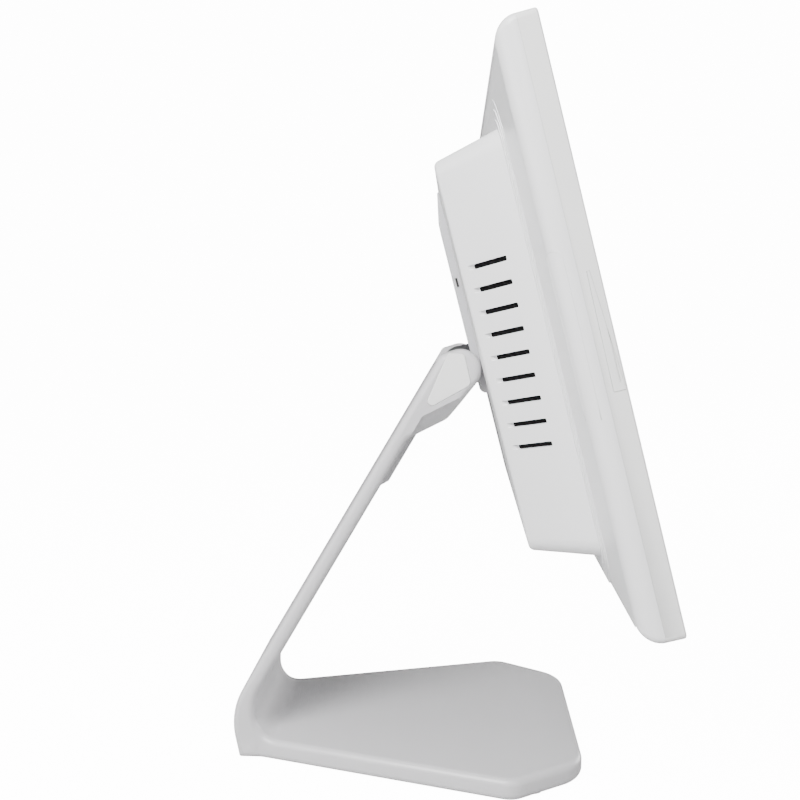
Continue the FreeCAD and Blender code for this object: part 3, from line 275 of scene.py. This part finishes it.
@dataclass
class Workshop:
    """Makes each finish's material once and keeps it."""

    made: dict[str, bpy.types.Material] = field(default_factory=dict)

    def material(self, finish: Finish) -> bpy.types.Material:
        """Gives the material of a finish.

        Args:
            finish: the surface finish.

        Returns:
            Its node material.
        """
        if finish.name not in self.made:
            self.made[finish.name] = self._make(finish)
        return self.made[finish.name]

    def _make(self, finish: Finish) -> bpy.types.Material:
        """Builds the node material of a finish.

        Args:
            finish: the surface finish.

        Returns:
            The new material.
        """
        material = bpy.data.materials.new(finish.name)
        material.use_nodes = True
        tree = material.node_tree
        nodes, links = tree.nodes, tree.links
        shader = nodes["Principled BSDF"]
        shader.inputs["Metallic"].default_value = finish.metallic
        shader.inputs["IOR"].default_value = finish.ior
        shader.inputs["Coat Weight"].default_value = finish.coat
        shader.inputs["Coat Roughness"].default_value = COAT_ROUGHNESS
        place = nodes.new("ShaderNodeTexCoord").outputs["Object"]
        height = self._height(tree, place, finish)
        wander = self._noise(tree, place, 1 / (WANDER_PITCH * MM), 3.0)
        links.new(self._colour(tree, finish, wander, height), shader.inputs["Base Color"])

        smear = nodes.new("ShaderNodeMapRange")
        smear.inputs["To Min"].default_value = max(finish.roughness * 0.86, 0.02)
        smear.inputs["To Max"].default_value = min(finish.roughness * 1.16, 1.0)
        links.new(wander, smear.inputs["Value"])
        links.new(smear.outputs["Result"], shader.inputs["Roughness"])

        bump = nodes.new("ShaderNodeBump")
        bump.inputs["Strength"].default_value = BUMP_STRENGTH
        bump.inputs["Distance"].default_value = finish.depth * MM
        links.new(height, bump.inputs["Height"])
        links.new(bump.outputs["Normal"], shader.inputs["Normal"])
        return material

    def _colour(
        self,
        tree: bpy.types.NodeTree,
        finish: Finish,
        wander: bpy.types.NodeSocket,
        height: bpy.types.NodeSocket,
    ) -> bpy.types.NodeSocket:
        """Adds the colour of a finish, which wanders a little and follows tracks or threads.

        Args:
            tree: the material's node tree.
            finish: the surface finish.
            wander: the slow noise that the colour follows.
            height: the height pattern, which lightens masked and woven surfaces.

        Returns:
            The colour socket.
        """
        base = linear(finish.colour)
        dark = 1 - finish.mottle
        tone = tree.nodes.new("ShaderNodeMix")
        tone.data_type = "RGBA"
        tone.inputs["A"].default_value = (*(c * dark for c in base[:3]), 1)
        tone.inputs["B"].default_value = base
        tree.links.new(wander, tone.inputs["Factor"])
        if finish.grain not in (Grain.MASKED, Grain.WOVEN):
            return tone.outputs["Result"]
        lift = tree.nodes.new("ShaderNodeMix")
        lift.data_type = "RGBA"
        lift.inputs["B"].default_value = (*(min(c * 1.9 + 0.01, 1) for c in base[:3]), 1)
        tree.links.new(tone.outputs["Result"], lift.inputs["A"])
        tree.links.new(height, lift.inputs["Factor"])
        return lift.outputs["Result"]

    def _noise(
        self, tree: bpy.types.NodeTree, place: bpy.types.NodeSocket, scale: float, detail: float
    ) -> bpy.types.NodeSocket:
        """Adds a noise texture.

        Args:
            tree: the material's node tree.
            place: the coordinate socket.
            scale: waves per metre.
            detail: octaves.

        Returns:
            The noise value socket.
        """
        noise = tree.nodes.new("ShaderNodeTexNoise")
        noise.inputs["Scale"].default_value = scale
        noise.inputs["Detail"].default_value = detail
        tree.links.new(place, noise.inputs["Vector"])
        return noise.outputs["Fac"]

    def _height(
        self, tree: bpy.types.NodeTree, place: bpy.types.NodeSocket, finish: Finish
    ) -> bpy.types.NodeSocket:
        """Adds the small-scale height pattern of a finish.

        Args:
            tree: the material's node tree.
            place: the coordinate socket.
            finish: the surface finish.

        Returns:
            The height socket, 0 to 1.
        """
        nodes, links = tree.nodes, tree.links
        scale = 1 / (finish.pitch * MM)
        if finish.grain is Grain.POLISHED:
            return self._noise(tree, place, scale, 1.0)
        if finish.grain is Grain.SPARKED:
            return self._noise(tree, place, scale, 4.0)
        if finish.grain is Grain.BRUSHED:
            stretch = nodes.new("ShaderNodeMapping")
            stretch.inputs["Scale"].default_value = BRUSH_STRETCH
            links.new(place, stretch.inputs["Vector"])
            return self._noise(tree, stretch.outputs["Vector"], scale, 2.0)
        if finish.grain is Grain.CAST:
            cells = nodes.new("ShaderNodeTexVoronoi")
            cells.feature = "SMOOTH_F1"
            cells.inputs["Scale"].default_value = scale
            links.new(place, cells.inputs["Vector"])
            return cells.outputs["Distance"]
        if finish.grain is Grain.MASKED:
            tracks = nodes.new("ShaderNodeTexBrick")
            tracks.inputs["Scale"].default_value = scale
            tracks.inputs["Mortar Size"].default_value = TRACK_GAP
            tracks.inputs["Color1"].default_value = (0, 0, 0, 1)
            tracks.inputs["Color2"].default_value = (0.2, 0.2, 0.2, 1)
            tracks.inputs["Mortar"].default_value = (1, 1, 1, 1)
            links.new(place, tracks.inputs["Vector"])
            return tracks.outputs["Fac"]
        weave = nodes.new("ShaderNodeTexChecker")
        weave.inputs["Scale"].default_value = scale
        weave.inputs["Color1"].default_value = (0, 0, 0, 1)
        weave.inputs["Color2"].default_value = (1, 1, 1, 1)
        links.new(place, weave.inputs["Vector"])
        return weave.outputs["Fac"]


# ------------------------------------------------------------------ placing and making meshes
def lean_matrix() -> Matrix:
    """Gives the turn and lift from the display's own frame to its place.

    Returns:
        The 4 by 4 matrix, in metres.
    """
    lift = Matrix.Translation((0, HINGE_Y * MM, HINGE_Z * MM))
    return lift @ Matrix.Rotation(-math.radians(TILT), 4, "X")


def local(x: float, depth: float, z: float) -> Vector:
    """Gives a display point in metres before it is leaned.

    Args:
        x: across, in millimetres.
        depth: behind the screen's front plane, in millimetres.
        z: above the tilt axis, in millimetres.

    Returns:
        The point in the display's own frame.
    """
    return Vector((x * MM, (depth - AXIS_DEPTH) * MM, z * MM))


def finished(
    name: str, mesh: bpy.types.Mesh, material: bpy.types.Material, smooth: bool = True
) -> bpy.types.Object:
    """Links a mesh into the scene as a piece.

    Args:
        name: the piece's name.
        mesh: its mesh, in place.
        material: its material.
        smooth: whether its faces are smooth shaded.

    Returns:
        The new object.
    """
    mesh.materials.clear()
    mesh.materials.append(material)
    mesh.polygons.foreach_set("use_smooth", [smooth] * len(mesh.polygons))
    piece = bpy.data.objects.new(name, mesh)
    bpy.context.scene.collection.objects.link(piece)
    return piece


def sweep(name: str, path: list[Vector], radius: float, closed: bool, sides: int = 12) -> bpy.types.Mesh:
    """Sweeps a circle along a path.

    Args:
        name: the mesh's name.
        path: its points, in metres.
        radius: the circle's radius, in metres.
        closed: whether the last point joins the first.
        sides: points round the circle.

    Returns:
        A closed tube.
    """
    shape = bmesh.new()
    count = len(path)
    rings = []
    side = Vector((1, 0, 0))
    for i, point in enumerate(path):
        before = path[i - 1] if closed or i > 0 else point
        after = path[(i + 1) % count] if closed or i < count - 1 else point
        along = (after - before).normalized()
        if i == 0:
            side = along.orthogonal().normalized()
        side = (side - along * side.dot(along)).normalized()
        other = along.cross(side)
        angles = [2 * math.pi * k / sides for k in range(sides)]
        rings.append(
            [shape.verts.new(point + (side * math.cos(a) + other * math.sin(a)) * radius) for a in angles]
        )
    spans = count if closed else count - 1
    shift = 0
    if closed:
        gaps = [(rings[0][k].co - rings[-1][0].co).length for k in range(sides)]
        shift = gaps.index(min(gaps))
    for i in range(spans):
        this, following = rings[i], rings[(i + 1) % count]
        offset = shift if closed and i == count - 1 else 0
        for k in range(sides):
            a, b = this[k], this[(k + 1) % sides]
            c, d = following[(k + 1 + offset) % sides], following[(k + offset) % sides]
            shape.faces.new((a, b, c, d))
    if not closed:
        shape.faces.new(list(reversed(rings[0])))
        shape.faces.new(rings[-1])
    bmesh.ops.recalc_face_normals(shape, faces=shape.faces)
    mesh = bpy.data.meshes.new(name)
    shape.to_mesh(mesh)
    shape.free()
    return mesh


class Unit(Enum):
    """The shape that a repeat copies."""

    BLOCK = "GeometryNodeMeshCube"
    ROD = "GeometryNodeMeshCylinder"


@dataclass(frozen=True)
class Repeat:
    """A grid of copies of one unit, made by Geometry Nodes. Lengths are millimetres.

    Args:
        unit: the shape copied.
        size: a block's three sizes, or a rod's radius, length and 0.
        count: copies along the first and second direction.
        pitch: spacing along the first and second direction.
        turn: the grid's rotation in degrees before it is placed.
        spin: each copy's own rotation in degrees.
    """

    unit: Unit
    size: tuple[float, float, float]
    count: tuple[int, int]
    pitch: tuple[float, float]
    turn: tuple[float, float, float] = (0.0, 0.0, 0.0)
    spin: tuple[float, float, float] = (0.0, 0.0, 0.0)

    def mesh(self, name: str, material: bpy.types.Material, place: Matrix) -> bpy.types.Mesh:
        """Makes the plain mesh of all the copies.

        Args:
            name: the mesh's name.
            material: the material set by the tree.
            place: where the grid's centre goes.

        Returns:
            The realised mesh, in place.
        """
        host = bpy.data.objects.new(name + " host", bpy.data.meshes.new(name + " host"))
        bpy.context.scene.collection.objects.link(host)
        tree, inputs = self._tree(name, material)
        modifier = host.modifiers.new("repeat", "NODES")
        modifier.node_group = tree
        values = {
            "Count A": self.count[0],
            "Count B": self.count[1],
            "Span A": (self.count[0] - 1) * self.pitch[0] * MM,
            "Span B": (self.count[1] - 1) * self.pitch[1] * MM,
            "Turn": [math.radians(a) for a in self.turn],
            "Spin": [math.radians(a) for a in self.spin],
        }
        for label, value in values.items():
            modifier[inputs[label]] = value
        bpy.context.view_layer.update()
        seen = host.evaluated_get(bpy.context.evaluated_depsgraph_get())
        out = bpy.data.meshes.new_from_object(seen)
        host.modifiers.clear()
        bpy.data.objects.remove(host)
        out.transform(place)
        out.name = name
        return out

    def _tree(self, name: str, material: bpy.types.Material) -> tuple[bpy.types.NodeTree, dict[str, str]]:
        """Builds the repeat's node tree.

        Args:
            name: the tree's name.
            material: the material its copies take.

        Returns:
            The tree, and each input's identifier by its name.
        """
        tree = bpy.data.node_groups.new(name, "GeometryNodeTree")
        face = tree.interface
        inputs = {}
        kinds = {
            "Count A": "NodeSocketInt",
            "Count B": "NodeSocketInt",
            "Span A": "NodeSocketFloat",
            "Span B": "NodeSocketFloat",
            "Turn": "NodeSocketVector",
            "Spin": "NodeSocketVector",
        }
        for label, kind in kinds.items():
            inputs[label] = face.new_socket(label, in_out="INPUT", socket_type=kind).identifier
        face.new_socket("Geometry", in_out="OUTPUT", socket_type="NodeSocketGeometry")
        nodes, links = tree.nodes, tree.links
        given = nodes.new("NodeGroupInput").outputs
        grid = nodes.new("GeometryNodeMeshGrid")
        links.new(given["Span A"], grid.inputs["Size X"])
        links.new(given["Span B"], grid.inputs["Size Y"])
        links.new(given["Count A"], grid.inputs["Vertices X"])
        links.new(given["Count B"], grid.inputs["Vertices Y"])
        shape = nodes.new(self.unit.value)
        if self.unit is Unit.BLOCK:
            shape.inputs["Size"].default_value = [s * MM for s in self.size]
        else:
            shape.inputs["Radius"].default_value = self.size[0] * MM
            shape.inputs["Depth"].default_value = self.size[1] * MM
            shape.inputs["Vertices"].default_value = 24
        copies = nodes.new("GeometryNodeInstanceOnPoints")
        links.new(grid.outputs["Mesh"], copies.inputs["Points"])
        links.new(shape.outputs["Mesh"], copies.inputs["Instance"])
        links.new(given["Spin"], copies.inputs["Rotation"])
        turned = nodes.new("GeometryNodeTransform")
        links.new(copies.outputs["Instances"], turned.inputs["Geometry"])
        links.new(given["Turn"], turned.inputs["Rotation"])
        real = nodes.new("GeometryNodeRealizeInstances")
        links.new(turned.outputs["Geometry"], real.inputs["Geometry"])
        paint = nodes.new("GeometryNodeSetMaterial")
        paint.inputs["Material"].default_value = material
        links.new(real.outputs["Geometry"], paint.inputs["Geometry"])
        links.new(paint.outputs["Geometry"], nodes.new("NodeGroupOutput").inputs["Geometry"])
        return tree, inputs


# ------------------------------------------------------------------ sub-assemblies
@dataclass
class CadSkin:
    """Puts materials and smooth shading on every CAD node.

    Args:
        shop: where the materials come from.
        crease: edges sharper than this stay sharp, in degrees.
        weld: points closer than this are merged, in millimetres.
    """

    shop: Workshop
    crease: float = 28.0
    weld: float = 0.002

    def build(self) -> list[str]:
        """Dresses the CAD nodes.

        Returns:
            One line for each node dressed.
        """
        log = []
        for name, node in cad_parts.items():
            finish = NODE_FINISH[name]
            node.data.materials.clear()
            node.data.materials.append(self.shop.material(finish))
            node.data.polygons.foreach_set("use_smooth", [True] * len(node.data.polygons))
            weld = node.modifiers.new("weld", "WELD")
            weld.merge_threshold = self.weld * MM
            split = node.modifiers.new("crease", "EDGE_SPLIT")
            split.split_angle = math.radians(self.crease)
            log.append(f"cad node {name}: {finish.name}")
        return log


@dataclass
class DisplayTrim:
    """Small visible details of the display: parting line, cover arches and key symbols.

    Args:
        shop: where the materials come from.
        body: the body that carries the trim.
        arch_turns: where the arch's two legs stand round the rolled edge, in degrees.
        arch_top: height at which the legs end and the arch begins.
        arch_low: height of the legs' lower ends.
        arch_rise: how far the arch rises above the legs.
        arch_proud: how deep the moulded line sits in the rolled edge.
    """

    shop: Workshop
    body: str = "display"
    arch_turns: tuple[float, float] = (24.0, 84.0)
    arch_top: float = 41.0
    arch_low: float = -20.0
    arch_rise: float = 3.0
    arch_proud: float = 0.06

    def build(self) -> list[str]:
        """Makes the display's trim.

        Returns:
            One line for each piece.
        """
        return [self.parting_line(), *self.arches(), *self.key_symbols()]

    def parting_line(self) -> str:
        """A fine shadowed gap round the slab, between the bezel and the rear cover.

        Returns:
            The log line.
        """
        half_w = SLAB_W / 2 - SLAB_CORNER
        half_h = SLAB_H / 2 - SLAB_CORNER
        path = []
        for k, (sx, sz) in enumerate(((1, 1), (-1, 1), (-1, -1), (1, -1))):
            for step in range(5):
                a = math.radians(90 * k + 22.5 * step)
                x = sx * half_w + SLAB_CORNER * math.cos(a)
                z = SLAB_RISE + sz * half_h + SLAB_CORNER * math.sin(a)
                path.append(local(x, BEZEL_DEPTH, z))
        mesh = sweep("parting_line", path, 0.06 * MM, True, 8)
        mesh.transform(lean_matrix())
        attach(finished("parting_line", mesh, self.shop.material(SEAM)), self.body)
        return "display parting_line"

    def arches(self) -> list[str]:
        """The faint arch moulded on the rolled edge of the cover, left and right.

        Returns:
            The log lines.
        """
        log = []
        radius = ROLL_R - self.arch_proud
        for side, word in ((-1, "left"), (1, "right")):
            path = []
            for turn, z in self.arch_outline():
                x = side * (SLAB_W / 2 - ROLL_R + radius * math.cos(turn))
                path.append(local(x, SLAB_T - ROLL_R + radius * math.sin(turn), z))
            name = f"cover_arch_{word}"
            mesh = sweep(name, path, 0.2 * MM, False, 10)
            mesh.transform(lean_matrix())
            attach(finished(name, mesh, self.shop.material(SATIN_WHITE)), self.body)
            log.append(f"display {name}")
        return log

    def arch_outline(self) -> list[tuple[float, float]]:
        """Works out the arch as (turn round the rolled edge, height).

        Returns:
            The points: up one leg, over the arch and down the other leg.
        """
        near, far = (math.radians(turn) for turn in self.arch_turns)
        steps = 12
        leg = [i / steps for i in range(steps + 1)]
        outline = [(near, self.arch_low + (self.arch_top - self.arch_low) * share) for share in leg]
        for i in range(1, steps):
            a = math.pi * i / steps
            turn = near + (far - near) * (1 - math.cos(a)) / 2
            outline.append((turn, self.arch_top + self.arch_rise * math.sin(a)))
        outline += [(far, self.arch_top - (self.arch_top - self.arch_low) * share) for share in leg]
        return outline

    def key_symbols(self) -> list[str]:
        """A short printed bar or two on the outer face of each side key.

        Returns:
            The log lines.
        """
        bars = {"power_key": 1, "menu_key": 3, "previous_key": 2, "next_key": 2}
        size = (0.04, 1.1, 0.28)
        turn = (90.0, 0.0, 0.0)
        log = []
        for i, (key, count) in enumerate(bars.items()):
            name = key + "_symbol"
            repeat = Repeat(Unit.BLOCK, size, (1, count), (1.0, 1.0), turn=turn, spin=turn)
            middle = local(KEY_FACE, KEY_DEPTH, KEY_TOP - KEY_PITCH * i)
            mesh = repeat.mesh(name, self.shop.material(PRINT), lean_matrix() @ Matrix.Translation(middle))
            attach(finished(name, mesh, self.shop.material(PRINT), smooth=False), key + "_body")
            log.append(f"display {name}")
        return log


@dataclass(frozen=True)
class Fitting:
    """A named repeat inside the housing.

    Args:
        name: the piece's name.
        finish: its finish.
        repeat: the grid of copies.
        place: the grid's centre as x, depth and height, in millimetres.
    """

    name: str
    finish: Finish
    repeat: Repeat
    place: tuple[float, float, float]


CHIP = (1.6, 0.9, 0.8)
# Size of the dark block that paints the shade inside each pry notch.
NOTCH_SHADE_BLOCK = (0.5, 1.1, 4.6)
FLAT = (90.0, 0.0, 0.0)
UPRIGHT = (-90.0, 0.0, 0.0)
FITTINGS = (
    Fitting(
        "usb_contacts", GOLD,
        Repeat(Unit.BLOCK, (1.0, 0.12, 7.0), (4, 1), (2.4, 1.0)),
        (44.0, PORT_DEPTH - 0.06, FLOOR_Z + 7.5),
    ),
    Fitting(
        "card_contacts", GOLD,
        Repeat(Unit.BLOCK, (1.1, 0.2, 9.0), (9, 1), (2.4, 1.0)),
        (12.0, PORT_DEPTH + 1.05, FLOOR_Z + 18),
    ),
    Fitting(
        "main_board_parts", BLACK_PLASTIC,
        Repeat(Unit.BLOCK, CHIP, (12, 4), (5.4, 4.6), turn=FLAT, spin=UPRIGHT),
        (-26.0, 31.0, -52.0),
    ),
    Fitting(
        "driver_board_parts", BLACK_PLASTIC,
        Repeat(Unit.BLOCK, CHIP, (4, 2), (4.4, 3.6), turn=FLAT, spin=UPRIGHT),
        (-79.0, 31.0, -1.5),
    ),
    Fitting(
        "main_board_cans", ZINC,
        Repeat(Unit.ROD, (2.0, 4.0, 0), (3, 2), (6.5, 6.5), turn=FLAT),
        (-40.0, 32.5, 10.0),
    ),
    # Dark blocks on the floor of the pry notches: painted shade for the notches' dark insides.
    Fitting(
        "notch_shade_left", BLACK_PLASTIC,
        Repeat(Unit.BLOCK, NOTCH_SHADE_BLOCK, (1, 1), (1.0, 1.0)),
        (-NOTCH_X, NOTCH_DEPTH, NOTCH_Z),
    ),
    Fitting(
        "notch_shade_right", BLACK_PLASTIC,
        Repeat(Unit.BLOCK, NOTCH_SHADE_BLOCK, (1, 1), (1.0, 1.0)),
        (NOTCH_X, NOTCH_DEPTH, NOTCH_Z),
    ),
)


@dataclass
class HousingDetail:
    """Contacts, threads and board parts of the rear housing, and dark blocks in the pry notches as painted
    shade.

    Args:
        shop: where the materials come from.
        body: the body that carries them.
        crest: radius of the line that the thread crests follow.
        pitch: rise of the thread in one turn.
        turns: how many turns show.
        start: how deep in the insert the thread starts.
    """

    shop: Workshop
    body: str = "display"
    crest: float = 1.62
    pitch: float = 0.7
    turns: int = 8
    start: float = 6.4

    def build(self) -> list[str]:
        """Makes the housing's repeated detail.

        Returns:
            One line for each piece.
        """
        log = []
        for fitting in FITTINGS:
            place = lean_matrix() @ Matrix.Translation(local(*fitting.place))
            material = self.shop.material(fitting.finish)
            mesh = fitting.repeat.mesh(fitting.name, material, place)
            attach(finished(fitting.name, mesh, material, smooth=False), self.body)
            log.append(f"housing {fitting.name}")
        return log + self.insert_threads()

    def insert_threads(self) -> list[str]:
        """The thread crests that show inside the four wall plate inserts.

        Returns:
            The log lines.
        """
        half = INSERT_SPACING / 2
        steps = 20
        log = []
        for sx, across in ((-1, "left"), (1, "right")):
            for sz, height in ((-1, "lower"), (1, "upper")):
                path = []
                for k in range(self.turns * steps + 1):
                    a = 2 * math.pi * k / steps
                    x = sx * half + self.crest * math.cos(a)
                    z = HOUSING_RISE + sz * half + self.crest * math.sin(a)
                    path.append(local(x, BACK_DEPTH - self.start + self.pitch * k / steps, z))
                name = f"insert_thread_{height}_{across}"
                mesh = sweep(name, path, 0.13 * MM, False, 6)
                mesh.transform(lean_matrix())
                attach(finished(name, mesh, self.shop.material(BRASS)), self.body)
                log.append(f"housing {name}")
        return log


@dataclass
class StandDetail:
    """Grip ridges under the stand's rubber feet.

    Args:
        shop: where the materials come from.
        places: the middle of each foot, x and y in millimetres.
    """

    shop: Workshop
    places: tuple[tuple[float, float], ...] = ((-68.0, -56.0), (68.0, -56.0), (-34.0, 62.0), (34.0, 62.0))

    def build(self) -> list[str]:
        """Makes the stand's small details.

        Returns:
            One line for each piece.
        """
        log = []
        for i, (x, y) in enumerate(self.places):
            repeat = Repeat(Unit.BLOCK, (0.5, 6.4, 0.16), (6, 1), (1.2, 1.0))
            place = Matrix.Translation((x * MM, y * MM, 0.1 * MM))
            name = f"foot_grip_{i + 1}"
            mesh = repeat.mesh(name, self.shop.material(RUBBER), place)
            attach(finished(name, mesh, self.shop.material(RUBBER), smooth=False), "stand")
            log.append(f"stand {name}")
        return log


# ------------------------------------------------------------------ studio
@dataclass(frozen=True)
class Lamp:
    """A soft square lamp that faces the object.

    Args:
        name: the lamp's name.
        place: its position in metres.
        size: its side in metres.
        power: watts.
    """

    name: str
    place: tuple[float, float, float]
    size: float
    power: float


LAMPS = (
    Lamp("key", (-0.85, 0.4, 0.9), 0.6, 31.0),
    Lamp("fill", (-1.9, -1.4, 1.1), 1.4, 16.0),
    Lamp("rim", (-0.4, 1.8, 0.5), 1.2, 18.0),
    Lamp("front", (1.3, -1.7, 0.32), 1.0, 42.0),
)


@dataclass
class Studio:
    """Floor, lights and camera.

    Args:
        eye: the camera's place, in millimetres.
        look: the direction that it looks in.
        lens: its focal length, in millimetres.
        aim: what the lamps face, in metres.
        room_light: strength of the light from all round.
        backdrop: brightness of the white that the camera sees behind the object.
        floor_reach: how far the floor lies flat on each side, in metres.
        floor_bend: radius of its curve up, in metres.
        floor_top: how high it rises, in metres.
        floor_half: half its width, in metres.
    """

    eye: tuple[float, float, float] = (-559.2, -16.0, 247.4)
    look: tuple[float, float, float] = (0.99362, 0.05438, -0.09877)
    lens: float = 45.1
    aim: tuple[float, float, float] = (0.0, 0.0, 0.18)
    room_light: float = 0.21
    backdrop: float = 14.0
    floor_reach: float = 3.0
    floor_bend: float = 1.5
    floor_top: float = 6.0
    floor_half: float = 6.0

    def build(self) -> list[str]:
        """Sets the studio up.

        Returns:
            One line for each thing made.
        """
        self._floor()
        self._world()
        for lamp in LAMPS:
            self._hang(lamp)
        self._camera()
        return ["studio floor", "studio lights", "studio camera"]

    def _floor(self) -> None:
        """Lays a pale matt floor that curves up far behind the object."""
        shape = bmesh.new()
        outline = [(-self.floor_reach, 0.0), (self.floor_reach, 0.0)]
        for step in range(1, 13):
            a = math.radians(7.5 * step)
            x = self.floor_reach + self.floor_bend * math.sin(a)
            outline.append((x, self.floor_bend * (1 - math.cos(a))))
        outline.append((self.floor_reach + self.floor_bend, self.floor_top))
        sides = (-self.floor_half, self.floor_half)
        rows = [[shape.verts.new((x, y, z)) for x, z in outline] for y in sides]
        for i in range(len(outline) - 1):
            shape.faces.new((rows[0][i], rows[0][i + 1], rows[1][i + 1], rows[1][i]))
        mesh = bpy.data.meshes.new("floor")
        shape.to_mesh(mesh)
        shape.free()
        mesh.polygons.foreach_set("use_smooth", [True] * len(mesh.polygons))
        paint = bpy.data.materials.new("pale floor")
        paint.use_nodes = True
        nodes, links = paint.node_tree.nodes, paint.node_tree.links
        shader = nodes["Principled BSDF"]
        shader.inputs["Base Color"].default_value = linear("#B9B9B9")
        shader.inputs["Roughness"].default_value = 0.85
        shader.inputs["Emission Color"].default_value = (1, 1, 1, 1)
        glow = nodes.new("ShaderNodeMath")
        glow.operation = "MULTIPLY"
        glow.inputs[1].default_value = self.backdrop
        links.new(nodes.new("ShaderNodeLightPath").outputs["Is Camera Ray"], glow.inputs[0])
        links.new(glow.outputs["Value"], shader.inputs["Emission Strength"])
        mesh.materials.append(paint)
        floor = bpy.data.objects.new("floor", mesh)
        bpy.context.scene.collection.objects.link(floor)
        floor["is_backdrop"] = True

    def _world(self) -> None:
        """Fills the surroundings with soft white light, and shows the camera a white backdrop."""
        world = bpy.data.worlds.new("studio")
        world.use_nodes = True
        nodes, links = world.node_tree.nodes, world.node_tree.links
        back = nodes["Background"]
        back.inputs["Color"].default_value = (1.0, 1.0, 1.0, 1)
        seen = nodes.new("ShaderNodeLightPath").outputs["Is Camera Ray"]
        choose = nodes.new("ShaderNodeMix")
        choose.inputs["A"].default_value = self.room_light
        choose.inputs["B"].default_value = self.backdrop
        links.new(seen, choose.inputs["Factor"])
        links.new(choose.outputs["Result"], back.inputs["Strength"])
        bpy.context.scene.world = world

    def _hang(self, lamp: Lamp) -> None:
        """Hangs one lamp.

        Args:
            lamp: the lamp.
        """
        data = bpy.data.lights.new(lamp.name, "AREA")
        data.size = lamp.size
        data.energy = lamp.power
        light = bpy.data.objects.new(lamp.name, data)
        light.location = lamp.place
        towards = Vector(self.aim) - Vector(lamp.place)
        light.rotation_euler = towards.to_track_quat("-Z", "Y").to_euler()
        bpy.context.scene.collection.objects.link(light)

    def _camera(self) -> None:
        """Places the camera."""
        data = bpy.data.cameras.new("camera")
        data.lens = self.lens
        data.sensor_width = 36.0
        data.clip_start = 0.01
        camera = bpy.data.objects.new("camera", data)
        camera.location = [c * MM for c in self.eye]
        camera.rotation_euler = Vector(self.look).to_track_quat("-Z", "Y").to_euler()
        bpy.context.scene.collection.objects.link(camera)
        bpy.context.scene.camera = camera


def plain(bounds: object) -> object:
    """Turns nested bounds into plain lists.

    Args:
        bounds: numbers, vectors, tuples or dictionaries of them.

    Returns:
        The same values as lists, numbers and dictionaries.
    """
    if isinstance(bounds, dict):
        return {key: plain(value) for key, value in bounds.items()}
    if hasattr(bounds, "__len__") and not isinstance(bounds, str):
        return [plain(value) for value in bounds]
    return float(bounds) if isinstance(bounds, (int, float)) else bounds


def main() -> None:
    """Dresses the CAD model, adds its details and sets the studio up."""
    start = plain(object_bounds())
    shop = Workshop()
    for assembly in (CadSkin(shop), DisplayTrim(shop), HousingDetail(shop), StandDetail(shop), Studio()):
        for line in assembly.build():
            print(line)
    {"cad": start, "all": plain(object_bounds())}


if __name__ == "__main__":
    main()
